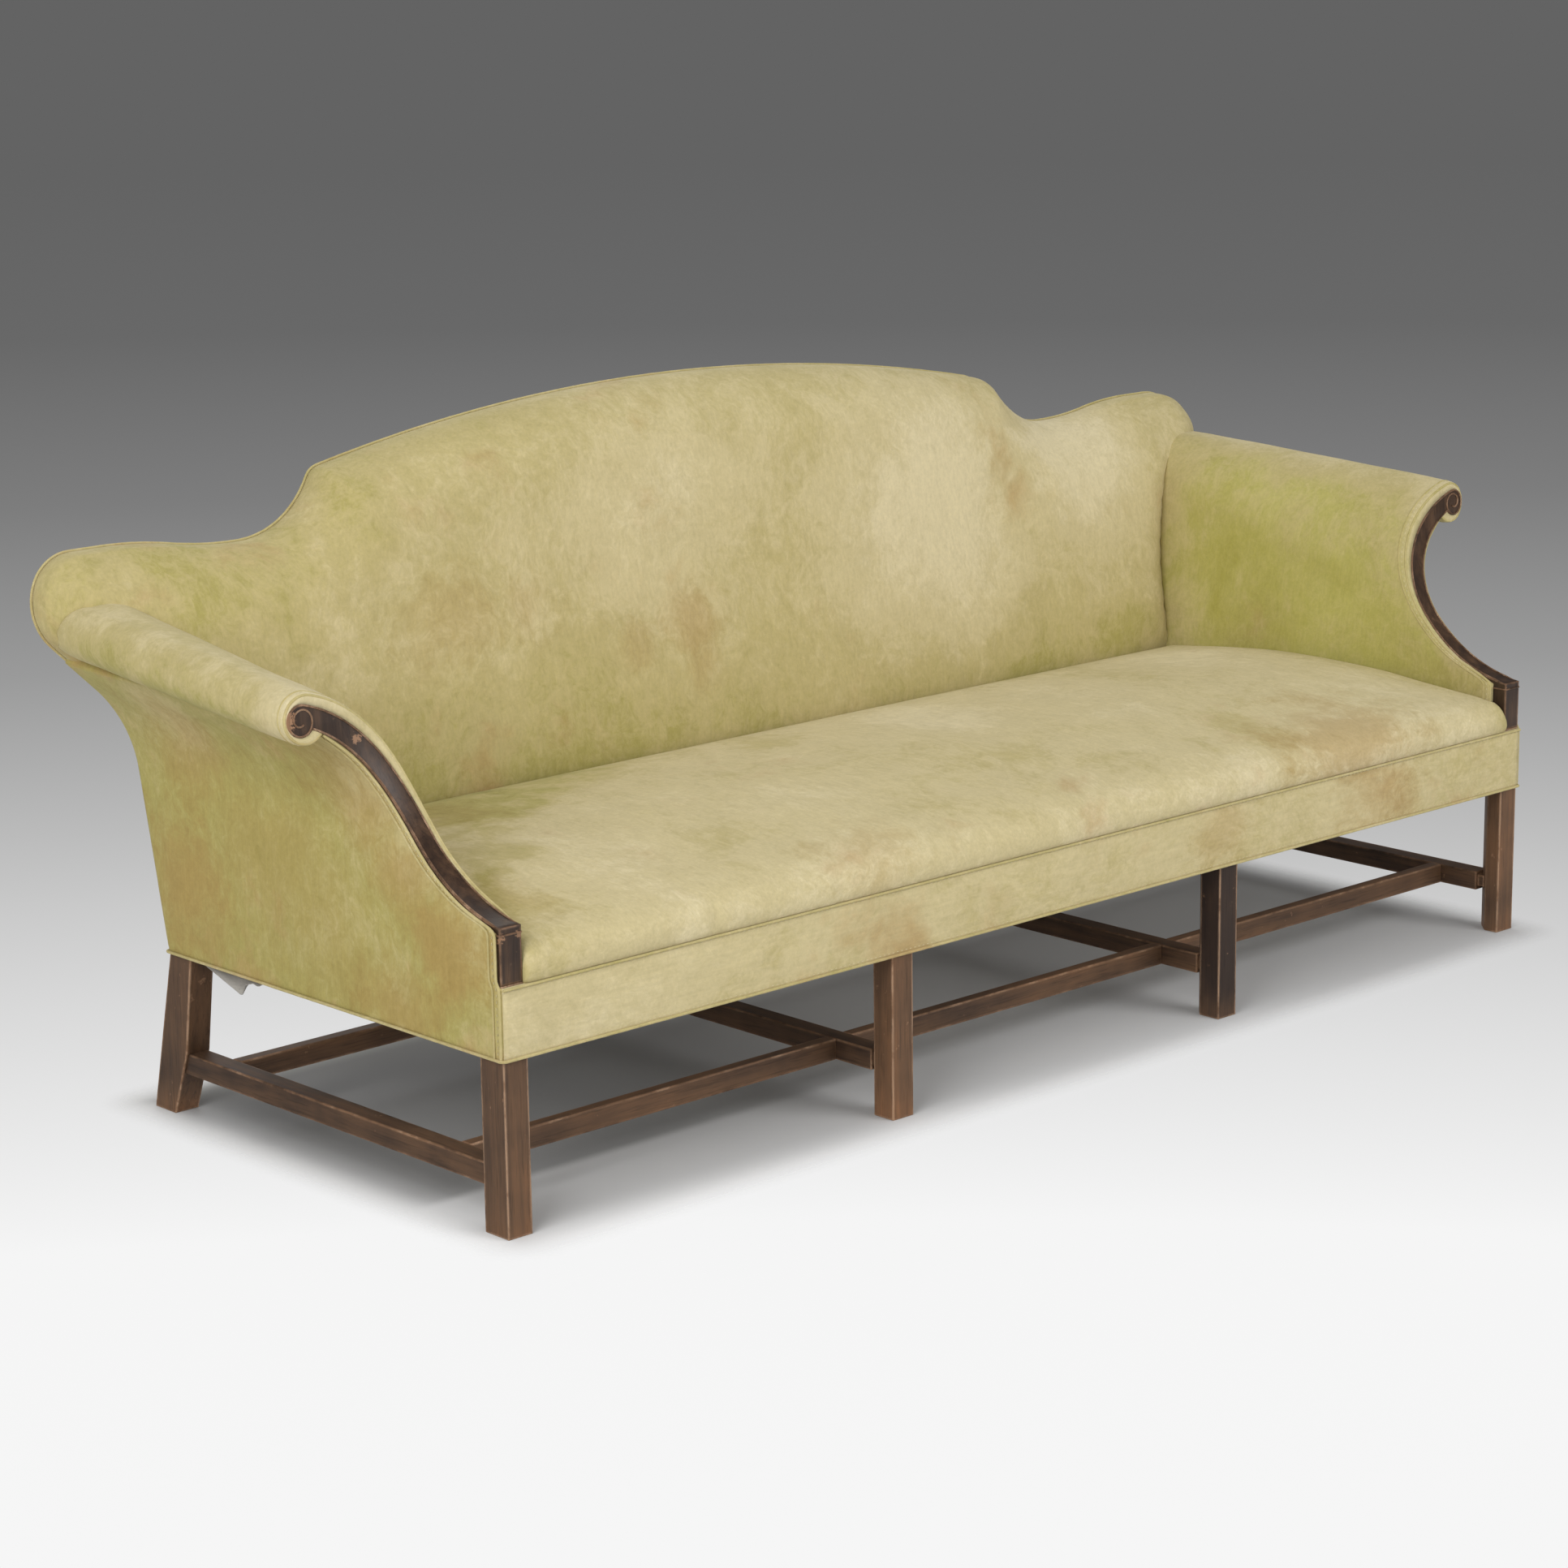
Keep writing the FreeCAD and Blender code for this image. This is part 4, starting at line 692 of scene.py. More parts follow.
def makeInsideBack(finish):
    s = backShape
    rings = []
    for inset in s["insets"]:
        spots = backInset(inset)
        distance = np.maximum(edgeDistance(*spots.T), 0)
        rings.append(backPoint(spots, padDepth(spots[:, 0], distance, armDistance(spots))))
    rings += [backPoint(backInset(inset), depth) for inset, depth in s["behind"]]
    corners, triangles = filled(backInset(s["insets"][0]), s["grid"])
    distance = edgeDistance(*corners.T)
    soft = smooth(rising(distance, s["insets"][0], s["insets"][0] + s["bellyReach"]))
    wave = lumps(corners[:, 0], 0, corners[:, 1], *s["lumpSizes"])
    belly = soft * (s["belly"] + s["lump"] * wave)
    front = backPoint(corners, padDepth(corners[:, 0], distance, armDistance(corners)) + belly)
    inset, depth = s["behind"][-1]
    corners, rearTriangles = filled(backInset(inset))

    def wearAndShade(points):
        x, y, z = points.T
        level, slope = s["wearAndShade"]
        # Darker low down by the seat and at the ends by the arms, which is painted shade in the creases; paler
        # higher up
        high = partly(z, *s["paleUp"]) + partly(z, *s["wearTop"])
        return level + high + slope * x + partly(np.abs(x), *s["creaseShadeByArms"])

    fills = [(front, triangles), (backPoint(corners, depth), rearTriangles)]
    return ringsAndFills("inside_back", rings, fills, finish, wearAndShade)


# The carved facings, which the pads hug and the beads follow

facingShape = {
    "sweep": complex(0.173, 0.500),
    "outer": 0.203,
    "scroll": 0.022,
    "scrollTurn": 105.5,
}


# Distance to the facing's outline, from outside it
def toFacing(spots):
    f = facingShape
    sweep, outer, scroll, angle = f["sweep"], f["outer"], f["scroll"], math.radians(f["scrollTurn"])
    eye = sweep + (outer - scroll) * cmath.exp(1j * angle)
    reach = np.abs(spots - sweep)
    beyond = (np.angle(spots - sweep) < angle) | (reach < outer - scroll / 2)
    return np.where(beyond, np.abs(spots - eye) - scroll, reach - outer)


# The arms: a loft through the section at each distance back

armShape = {
    "frontAt": 0.180,
    "backAt": 0.850,
    "footInset": (0.054, 0.096),
    "turn": (complex(-0.040, 0.500), complex(-0.030, 0.693)),
    "roll": (complex(0.1207, 0.6712), complex(0.078, 0.713)),
    "rollRadius": (0.034, 0.038),
    "turnAngle": (107, 93),
    "seamAngle": (-150, -84),
    "bulge": 0.028,
    "ring": 0.213,
    "pad": 0.0185,
    "foot": 0.338,
    "sweepAhead": 0.035,
    "sweepHeight": 0.690,
    "sweepRadius": 0.2738,
    "facingBack": 0.2945,
    "postBack": 0.049,
    "lip": 0.0108,
    "lipFrom": 0.62,
    "lipLimits": (0.003, 0.026),
    "snug": 0.0003,
    "buried": 0.0012,
    "footIn": -0.0356,
    "blockBack": 0.0245,
    "endRound": 0.0066,
    "lipStep": 0.004,
    "lump": 0.0016,
    "belly": 0.0015,
    "bellyReach": 0.05,
    "frontRows": (0, 0.0012, 0.003, 0.006, 0.010, 0.014),
    "rows": (0.03, 0.97, 84),
    "backRows": (0.982, 0.989, 0.994, 0.997, 0.999, 1.0),
    "wearAndShade": (0.26, 0.18, 0.24, 0.32),
    "paleUp": (0.46, 0.66),
    "wearRoll": ((1.6, 2.0), (2.75, 2.25)),
    "wearReach": 0.035,
}
bendTop = turned(facingShape["sweep"], armShape["ring"], armShape["turnAngle"][0])
halfChord = abs(bendTop - armShape["turn"][0]) / 2
frontBulge = armShape["ring"] - math.sqrt(armShape["ring"] ** 2 - halfChord ** 2)
sideName = {-1: "left", 1: "right"}


def hollow(height, radius, least):
    s = armShape
    rise = np.clip(s["sweepHeight"] - height, -radius, radius)
    return np.maximum(np.sqrt(radius ** 2 - rise ** 2) - s["sweepAhead"], least)


def pair(key, share):
    return mixed(*armShape[key], share)


def stationOf(deep):
    return (deep - armShape["frontAt"]) / (armShape["backAt"] - armShape["frontAt"])


# From the spot in the section, 0 to 1 up the foot, to 2 round the bend, to 3 round the roll
def armSection(deep, depth, along):
    share = stationOf(deep)
    turnAngle, seam = np.radians(pair("turnAngle", share)), np.radians(pair("seamAngle", share))
    centre, radius = pair("roll", share), pair("rollRadius", share) - depth
    foot = depth - pair("footInset", share) + 1j * armShape["foot"]
    start = pair("turn", share) + depth
    top = centre + radius * np.exp(1j * turnAngle)
    bulge = mixed(frontBulge, armShape["bulge"], share)
    wide = np.abs(top - start)
    unit = (top - start) / wide
    big = (wide ** 2 / 4 + bulge ** 2) / (2 * bulge)
    opening = np.arcsin(np.clip(wide / 2 / big, -1, 1))
    turn = mixed(-opening, opening, rising(along, 1, 2))
    bend = (start + top) / 2 - 1j * unit * (big - bulge) + unit * big * (np.sin(turn) + 1j * np.cos(turn))
    roll = centre + radius * np.exp(1j * mixed(turnAngle, seam, rising(along, 2, 3)))
    line = mixed(foot, start, rising(along, 0, 1))
    return np.where(along <= 1, line, np.where(along <= 2, bend, roll))


def backFaceDeep(out, height, toArm=9.0):
    x = halfFrame + out
    return rearDeep(height) - padDepth(x, edgeDistance(x, height), toArm) / rakeCos


def roundedOff(near, radius):
    return radius - np.sqrt(radius ** 2 - (radius - np.clip(near, 0, radius)) ** 2)


def placed(side, section, deep):
    return np.stack([side * (halfFrame + section.real), faceY + deep, section.imag], -1)


# Where the arm meets the back, seen from the front
def meetingLine():
    along = np.linspace(0, 3, 260)
    deep = np.full(along.shape, 0.7)
    for i in range(4):
        section = armSection(deep, 0, along)
        deep = backFaceDeep(section.real, section.imag)
    return section


armLine = meetingLine()


def armDistance(spots):
    spots = np.abs(spots[..., 0]) - halfFrame + 1j * spots[..., 1]
    return np.abs(spots[..., None] - armLine).min(-1)


# Thickness of the pad's lip, so that it ends just off the facing
def lipDepth(deep, spot):
    s = armShape
    thin, thick = s["lipLimits"]
    lip = np.clip(s["footIn"] - armSection(deep, 0, spot).real, thin, s["pad"])
    lip = np.where(spot > s["lipFrom"], s["lip"], lip)
    for i in range(3):
        short = toFacing(armSection(deep, lip, spot)) + s["snug"]
        lip = np.where(spot > 1, np.clip(lip + short, thin, thick), lip)
    return lip


def makeInsideArm(side, finish):
    s = armShape
    along = chain((0, 1, 16), (1, 2, 22), (2, 3, 34))
    run = np.concatenate([s["frontRows"], np.linspace(*s["rows"]), s["backRows"]])
    share, spot = np.meshgrid(run, along, indexing="ij")
    deep = mixed(0.2, 0.75, share)
    grids = []
    for inner in (False, True):
        depth = np.zeros(share.shape)
        for i in range(6):
            section = armSection(deep, depth, spot)
            height = section.imag
            start = hollow(height, s["sweepRadius"], s["blockBack"])
            end = backFaceDeep(section.real, height, 0.0) + s["buried"]
            deep = mixed(start, end, share)
            if inner:
                behind = hollow(height, s["facingBack"], s["postBack"])
                depth = mixed(lipDepth(deep, spot), s["pad"], rising(deep, behind, behind + s["lipStep"]))
            else:
                near = np.minimum(deep - start, (end - deep) * 1.2)
                depth = roundedOff(near, s["endRound"])
        if not inner:
            wave = lumps(section.real, deep, height, (s["lump"], 9.0, 11.3 + side))
            section = armSection(deep, depth - (wave + s["belly"]) * rising(near, 0, s["bellyReach"]), spot)
        grids.append(placed(side, section, deep))
    high = rising(grids[0][..., 2], *s["paleUp"]) ** 1.5
    rollStart, rollEnd = s["wearRoll"]
    onRoll = rising(spot, *rollStart) * rising(spot, *rollEnd)
    # Paler up the arm, over the roll and by the front; darker low down by the seat, which is painted shade in
    # the crease
    level, up, roll, front = s["wearAndShade"]
    wearAndShade = level + up * high + roll * onRoll + front * np.exp(-(deep - start) / s["wearReach"])
    return shell(sideName[side] + "_inside_arm", *grids, finish, wearAndShade)


# Outside of the arm: from under the roll down to the hem

panelShape = {
    "hem": 0.2405,
    "cloth": 0.0026,
    "clear": 0.0003,
    "turn": (128, 136.3),
    "run": (0.0262, 0.061),
    "tuck": 0.003,
    "start": 0.2765,
    "blockSide": 0.0065,
    "blockFoot": 0.343,
    "blockTop": 0.41,
    "puff": 0.0035,
    "puffReach": 0.10,
    "hemReach": 0.6,
    "thin": 0.8,
    "thinReach": 0.0025,
    "lump": 0.0012,
    "heights": (0.2405, 0.2412, 0.244, 0.25, 0.26, 0.275, 0.29, 0.305, 0.32, 0.332, 0.340, 0.3435, 0.35, 0.36,
                0.375, 0.39, 0.402, 0.4095, 0.412, 0.42, 0.435, 0.45, 0.465, 0.48),
    "frontRows": (0, 0.002, 0.005, 0.01, 0.015, 0.02, 0.03),
    "rows": (0.045, 0.985, 110),
    "backRows": (0.993, 0.998, 1.0),
    "wearAndShade": (0.28, 0.18, 0.06),
    "wearReach": 0.10,
    "paleUp": (0.45, 0.65),
}


# From the spot in the section, 0 to 1 up the side, to 2 round the hollow, to 3 straight, to 4 tucked
def panelCurve(share, along, out):
    s, sweep = panelShape, facingShape["sweep"]
    turn = np.radians(mixed(*s["turn"], share))
    line = out + 1j * mixed(s["hem"], sweep.imag, rising(along, 0, 1))
    radius = sweep.real - out
    arc = sweep + radius * np.exp(1j * mixed(np.pi, turn, rising(along, 1, 2)))
    neck = sweep + radius * np.exp(1j * turn)
    slope = neck + mixed(*s["run"], share) * np.exp(1j * (turn - np.pi / 2)) * rising(along, 2, 3)
    seam = np.exp(1j * np.radians(pair("seamAngle", share)))
    rollEdge = pair("roll", share) + (pair("rollRadius", share) - s["tuck"]) * seam
    tucked = mixed(slope, rollEdge, rising(along, 3, 4))
    return np.where(along <= 1, line, np.where(along <= 2, arc, np.where(along <= 3, slope, tucked)))


# The panel's front edge: behind the facing, stepped round its foot block
def panelStart(height, foot):
    s = panelShape
    start = np.where(height > s["blockTop"], hollow(height, s["start"], s["blockSide"]), s["blockSide"])
    return np.where(height < s["blockFoot"], foot, start)


def panelSpots(heights, rest):
    low, high = panelShape["hem"], facingShape["sweep"].imag
    return np.append((np.array(heights) - low) / (high - low), rest)


def makeOutsideArm(side, finish):
    s = panelShape
    along = panelSpots(s["heights"], chain((1, 2, 24), (2, 3, 9), (3, 4, 5)))
    run = np.concatenate([s["frontRows"], np.linspace(*s["rows"]), s["backRows"]])
    share, spot = np.meshgrid(run, along, indexing="ij")
    deep = mixed(0.1, 0.8, share)
    grids = []
    for out in (s["clear"] + s["cloth"], s["clear"]):
        puff = np.zeros(share.shape)
        for i in range(4):
            curve = panelCurve(stationOf(deep), spot, out + puff)
            height = curve.imag
            start, end = panelStart(height, -0.0012), rearDeep(height) - 0.0008
            deep = mixed(start, end, share)
            if out > s["clear"]:
                near = np.minimum(np.minimum(deep - start, end - deep), s["hemReach"] * (height - s["hem"]))
                wave = lumps(0, deep, height, (s["lump"], 7.0, 21.0 + side))
                full = 1 - (1 - rising(near, 0, s["puffReach"])) ** 2
                puff = (s["puff"] + wave) * full * rising(spot, 3, 2)
                puff = puff - s["cloth"] * s["thin"] * rising(near, s["thinReach"], 0) ** 2
        grids.append(placed(side, curve, deep))
    level, front, up = s["wearAndShade"]
    wearAndShade = level + front * np.exp(-(deep - start) / s["wearReach"]) + up * rising(height, *s["paleUp"])
    return shell(sideName[side] + "_outside_arm", *grids, finish, wearAndShade), flatSize(grids[0])


# Longest run along and down a grid, and its area
def flatSize(grid):
    across = np.linalg.norm(np.diff(grid, axis=0), axis=2).sum(0).max()
    down = np.linalg.norm(np.diff(grid, axis=1), axis=2).sum(1).max()
    a, b, c, d = grid[:-1, :-1], grid[:-1, 1:], grid[1:, 1:], grid[1:, :-1]
    return float(across), float(down), areaOf(a, b, c) + areaOf(c, d, a)


def areaOf(a, b, c):
    return float(np.linalg.norm(np.cross(b - a, c - a), axis=-1).sum() / 2)


# Front band under the seat

bandShape = {
    "low": 0.2405,
    "high": 0.3405,
    "clear": 0.0003,
    "cloth": 0.0026,
    "puff": 0.0022,
    "lump": 0.0014,
    "lumpSizes": ((1, 6.0, 40.0), (0.5, 21.0, 44.0)),
    "soft": (0.28, 0.97),
    "hemWave": 0.0007,
    "hemShare": 0.3,
    "edge": (0.45, 0.55, 0.03),
    "columns": 260,
    "rows": (0, 0.01, 0.03, 0.07, *np.linspace(0.13, 0.87, 7), 0.93, 0.97, 0.99, 1),
    "wearAndShade": (0.74, 0.10, 0.10),
}


def makeBand(finish):
    s = bandShape
    across, up = np.meshgrid(np.linspace(-1, 1, s["columns"]), s["rows"], indexing="ij")
    x = across * (halfFrame + s["clear"])
    z = mixed(s["low"], s["high"], up)
    wave = lumps(x, 0, z, *s["lumpSizes"])
    inside = np.minimum(up, 1 - up)
    soft = rising(inside, 0, s["soft"][0]) * rising(np.abs(across), 1, s["soft"][1])
    z = z + s["hemWave"] * wave * (up < s["hemShare"])
    thin, more, reach = s["edge"]
    thick = s["cloth"] * (thin + more * rising(inside, 0, reach) ** 0.5)
    inner = np.full(x.shape, faceY - s["clear"])
    outer = np.stack([x, inner - thick - (s["puff"] + s["lump"] * wave) * soft, z], -1)
    level, patchy, slope = s["wearAndShade"]
    wearAndShade = level + patchy * wave - slope * across
    return shell("front_band", outer, np.stack([x, inner, z], -1), finish, wearAndShade), flatSize(outer)


# Seat

seatShape = {
    "profile": [(-0.0052, 0.3414), (-0.0076, 0.3475), (-0.0090, 0.3575), (-0.0074, 0.3690), (-0.0008, 0.3805),
                (0.0140, 0.3915), (0.0480, 0.4005), (0.1300, 0.4090), (0.2200, 0.4190), (0.3200, 0.4255),
                (0.4200, 0.4255), (0.5200, 0.4205), (0.6000, 0.4130), (0.6500, 0.4065), (0.6720, 0.4010),
                (0.6835, 0.3945), (0.6885, 0.3860), (0.6900, 0.3750), (0.6860, 0.3520)],
    "floor": 0.3385,
    "crown": 0.008,
    "endDrop": 0.004,
    "sideRound": 0.018,
    "dropFrom": (0.342, 0.372),
    "bodyFront": (-0.014, 0.086),
    "bodyBack": (0.684, 0.594),
    "noseDeep": 0.02,
    "noseDrop": 0.25,
    "noseWide": 0.0073,
    "noseWideFrom": (0.0235, 0.0115),
    "noseLump": 0.0012,
    "noseLumpFrom": (0.345, 0.355),
    "clear": 0.0006,
    "least": 0.003,
    "under": (0.002, 0.666),
    "underWide": 0.999,
    "lump": 0.0022,
    "lumpSizes": ((1, 4.0, 5.0), (0.6, 10.0, 9.0)),
    "pulls": [(-0.704, 0.366, 0.0030), (-0.471, 0.360, 0.0034), (0.335, 0.362, 0.0018)],
    "pullSize": (0.011, 0.020),
    "pullDeep": 0.05,
    "endColumns": (0, 0.0006, 0.0015, 0.0035, 0.0065, 0.010, 0.0145, 0.020),
    "columns": (0.028, 0.972, 300),
    "farColumns": (0.98, 0.9855, 0.99, 0.9935, 0.9965, 0.9985, 0.9994, 1),
    "rows": 96,
    "wearAndShade": (0.42, 0.40, 0.1),
    "wearAndCreaseShadeBack": (0.680, 0.580),
    "wearAndCreaseShadeSide": 0.10,
    "wearNose": 0.1,
}


def makeSeat(finish):
    s = seatShape
    line = smoothLine(s["profile"], s["rows"])
    side = np.concatenate([s["endColumns"], np.linspace(*s["columns"]), s["farColumns"]]) * 2 - 1
    across, row = np.meshgrid(side, np.arange(s["rows"]), indexing="ij")
    deep, top = line[row, 0], line[row, 1]
    reach = halfFrame - pair("footInset", stationOf(deep)) - s["clear"]
    reach = reach + partly(deep, s["noseWide"], *s["noseWideFrom"])
    x = across * reach
    fromSide = reach * (1 - np.abs(across))
    drop = roundedOff(fromSide, s["sideRound"])
    body = smooth(rising(deep, *s["bodyFront"]) * rising(deep, *s["bodyBack"]))
    crown = s["crown"] * (1 - np.abs(across) ** 3) - s["endDrop"] * np.abs(across) ** 6
    wave = lumps(x, deep, 0, *s["lumpSizes"])
    z = top + body * (crown + s["lump"] * wave) - drop * rising(top, *s["dropFrom"])
    z = np.maximum(z, s["floor"] + s["least"])
    nose = rising(deep, s["noseDeep"], 0)
    y = deep + s["noseLump"] * wave * nose * rising(top, *s["noseLumpFrom"])
    y = y + np.where(nose > 0, drop * s["noseDrop"], 0)
    wide, high = s["pullSize"]
    for middle, height, pull in s["pulls"]:
        y = y + pull * np.exp(-((x - middle) / wide) ** 2 - ((z - height) / high) ** 2) * (deep < s["pullDeep"])
    outer = np.stack([x, faceY + y, z], -1)
    under = mixed(*s["under"], row / (s["rows"] - 1))
    under = np.stack([x * s["underWide"], faceY + under, np.full(x.shape, s["floor"])], -1)
    # Paler on the worn crown; darker along the back and the arms, which is painted shade in the creases
    edge = rising(deep, *s["wearAndCreaseShadeBack"]) * rising(fromSide, 0, s["wearAndCreaseShadeSide"])
    level, crownWearAndCreaseShade, noseWear = s["wearAndShade"]
    wearAndShade = level + crownWearAndCreaseShade * np.sqrt(edge) + noseWear * rising(deep, s["wearNose"], 0)
    return shell("seat", outer, under, finish, wearAndShade)


# Cloth panel behind the back

rearShape = {
    "hem": 0.2408,
    "clear": 0.0003,
    "cloth": 0.0026,
    "edge": 0.0012,
    "puff": 0.004,
    "puffReach": 0.12,
    "puffFrom": (0.33, 0.43),
    "lump": 0.0012,
    "skirtIn": 0.0028,
    "grid": 0.016,
    "wearAndShade": (0.45, 0.2),
    "paleUp": (0.4, 0.8),
}


def makeOutsideBack(finish):
    s = rearShape
    skirt = complex(halfFrame - s["skirtIn"], s["hem"])
    half = halfLine + [complex(skirt.real, z) for z in np.linspace(0.335, s["hem"], 12)]
    hem = [complex(x, s["hem"]) for x in np.linspace(skirt.real, -skirt.real, 160)[1:-1]]
    loop = flat(half + hem + [-spot.conjugate() for spot in half[:0:-1]])
    loop = loop + inwards(loop) * s["edge"]
    corners, triangles = filled(loop, s["grid"])
    x, z = corners.T
    soft = rising(edgeDistance(x, z, loop), 0, s["puffReach"])
    puff = s["puff"] + lumps(x, 0, z, (s["lump"], 5.0, 61.0))
    puff = (1 - (1 - soft) ** 2) * puff * rising(z, *s["puffFrom"])
    depths = (s["clear"] + s["cloth"], s["clear"])
    outer = backPoint(corners, -(depths[0] + puff))
    fills = [(outer, triangles), (backPoint(corners, -depths[1]), triangles)]

    def wearAndShade(points):
        level, up = s["wearAndShade"]
        return level + up * rising(points[:, 2], *s["paleUp"])

    rings = [backPoint(loop, -depth) for depth in depths]
    piece = ringsAndFills("outside_back", rings, fills, finish, wearAndShade)
    return piece, areaOf(*(outer[[t[k] for t in triangles]] for k in range(3)))


# Welts, stitches and tacks

trim = {
    "welt": 0.0021,
    "double": 0.0016,
    "step": 0.004,
    "uneven": 0.0003,
    "panelWelt": (0.0002, 0.0034),
    "padWelt": (0.0022, 0.0026),
    "panelDouble": (0.0120, 0.0046),
    "padDouble": (0.0140, 0.0002),
    "panelStitch": (0.0052, 0.0042),
    "padStitch": (0.0075, -0.0003),
    "bandWelt": (0.3384, 0.0048),
    "bandStitch": ((0.3350, 0.0034), (0.2483, 0.0034)),
    "stitch": 0.00045,
    "stitchHalf": 0.00225,
    "stitchSpacing": 0.0085,
    "hem": 0.2435,
    "proud": 0.0050,
    "corner": 0.006,
    "tackSpacing": 0.07105,
    "tackReach": 0.959,
    "tackRows": (-0.4305, 0.2915),
    "tackSide": 1.0545,
    "tackSideRow": (-0.36, 0.2),
    "tackHead": 0.004,
    "tackDome": 0.002,
    "tackLevel": 0.2431,
}


def hemPath():
    t = trim
    r, x, front = t["corner"], halfFrame + t["proud"], faceY - t["proud"]
    back = faceY + rearDeep(t["hem"]) + t["proud"] - 0.001
    path = []
    for spot, first in ((complex(r - x, front + r), 180), (complex(x - r, front + r), 270),
                        (complex(x - r, back - r), 0), (complex(r - x, back - r), 90)):
        path += [turned(spot, r, first + more) for more in (0, 30, 60, 90)]
    return [(p.real, p.imag, t["hem"]) for p in path]


def bandPath(height, proud):
    x = halfFrame + 0.0004
    return [(s * x, faceY - proud, height) for s in np.linspace(-1, 1, 200)]


def eased(points, times):
    for i in range(times):
        points[1:-1] = (points[:-2] + points[1:-1] * 2 + points[2:]) / 4
    return points


def padEdge(side, behind, depth):
    s = armShape
    along = chain((0.30, 1, 30), (1, 2, 46), (2, 3, 60))
    deep = np.full(along.shape, 0.1)
    for i in range(5):
        section = armSection(deep, depth, along)
        deep = hollow(section.imag, s["sweepRadius"], s["blockBack"]) + behind
    return eased(placed(side, section, deep), 3)


def panelEdge(side, behind, out):
    along = panelSpots(np.linspace(0.2445, 0.5, 90), chain((1, 2, 40), (2, 3, 9))[1:])
    deep = np.full(along.shape, 0.1)
    for i in range(5):
        curve = panelCurve(stationOf(deep), along, out)
        deep = panelStart(curve.imag, 0.0002) + behind
    return eased(placed(side, curve, deep), 4)


def rearEdge():
    half = halfLine + [complex(halfFrame - 0.0022, z) for z in np.linspace(0.335, 0.250, 10)]
    return backPoint(flat([-spot.conjugate() for spot in half[:0:-1]] + half), -0.0022)


# Beads carved along the facings and round their scrolls

beadShape = {
    "radius": 0.0013,
    "step": 0.0018,
    "uneven": 0.00015,
    "front": 0.273,
    "sunk": 0.0003,
    "inside": 0.1748,
    "edgeIn": 0.0016,
    "eye": 0.0065,
    "eyeFrom": 0.35,
    "curl": 590,
    "footWide": 0.0334,
    "footHigh": 0.440,
    "foot": 0.412,
    "blockTop": 0.4096,
    "cap": ((-0.0353, 0.03), (-0.0353, -0.0004), (0.0002, -0.0004), (0.0002, 0.03)),
}


def beadPaths(side):
    b, f = beadShape, facingShape
    sweep, scroll, high = f["sweep"], f["scroll"], f["outer"] - b["edgeIn"]
    centre = turned(sweep, f["outer"] - scroll, f["scrollTurn"])
    heights = np.linspace(b["foot"], sweep.imag, 24)
    outer = list(sweep.real - b["inside"] + 1j * heights)
    outer += [turned(sweep, b["inside"], a) for a in np.linspace(180, 112, 50)]
    wide = mixed(-b["footWide"], sweep.real - high, rising(heights, b["footHigh"], sweep.imag))
    inner = list(wide + 1j * heights)
    inner += [turned(sweep, high, a) for a in np.linspace(180, f["scrollTurn"], 60)]
    for part in np.linspace(0, 1, 110):
        radius = mixed(scroll - b["edgeIn"], b["eye"], rising(part, b["eyeFrom"], 1))
        inner.append(turned(centre, radius, f["scrollTurn"] - b["curl"] * part))
    paths = []
    for line in (np.array(outer), np.array(inner)):
        deep = hollow(line.imag, b["front"], 0.0) - b["sunk"]
        paths.append(eased(placed(side, line, deep), 2))
    out, deep = np.transpose(b["cap"])
    return paths + [placed(side, out + 1j * b["blockTop"], deep)]


def makeBeads(side, cord, finish):
    b = beadShape
    return drawn(sideName[side] + "_facing_beads", beadPaths(side), cord,
                 {"Radius": b["radius"], "Step": b["step"], "Uneven": b["uneven"], "Finish": finish})


def makeTrim(cord, velvet, thread, metal):
    t = trim
    lines = {"Welt": [rearEdge(), bandPath(*t["bandWelt"])], "Double": [],
             "Stitch": [bandPath(*seam) for seam in t["bandStitch"]]}
    rows = [[(s * t["tackReach"], y, t["tackLevel"]) for s in (-1, 1)] for y in t["tackRows"]]
    for side in sideName:
        for kind, paths in lines.items():
            paths += [panelEdge(side, *t["panel" + kind]), padEdge(side, *t["pad" + kind])]
        rows.append([(side * t["tackSide"], y, t["tackLevel"]) for y in t["tackSideRow"]])
    sizes = {"Radius": t["welt"], "Step": t["step"], "Uneven": t["uneven"], "Finish": velvet}
    welts = drawn("welts", lines["Welt"], cord, sizes, [hemPath()])
    doubles = drawn("double_welts", lines["Double"], cord, {**sizes, "Radius": t["double"]})
    seams = drawn("stitches", lines["Stitch"], studTree("stitches", 6, 4, True), {
        "Spacing": t["stitchSpacing"], "Radius": t["stitch"], "Height": t["stitchHalf"], "Finish": thread})
    heads = drawn("tack_heads", rows, studTree("tacks", 12, 8, False), {
        "Spacing": t["tackSpacing"], "Radius": t["tackHead"], "Height": t["tackDome"], "Finish": metal})
    return welts, doubles, seams, heads


# Lining under the frame

liningShape = {
    "half": (1.0685, 0.3735),
    "middle": -0.0695,
    "top": 0.2439,
    "thick": 0.0008,
    "sag": 0.005,
    "sagFrom": (0.02, 0.16),
    "lump": 0.0012,
    "loose": [(0.178, 0.060, 0.047), (0.110, 0.034, 0.016)],
    "looseReach": 0.085,
    "looseIn": 0.030,
    "columns": 200,
    "rows": 110,
}


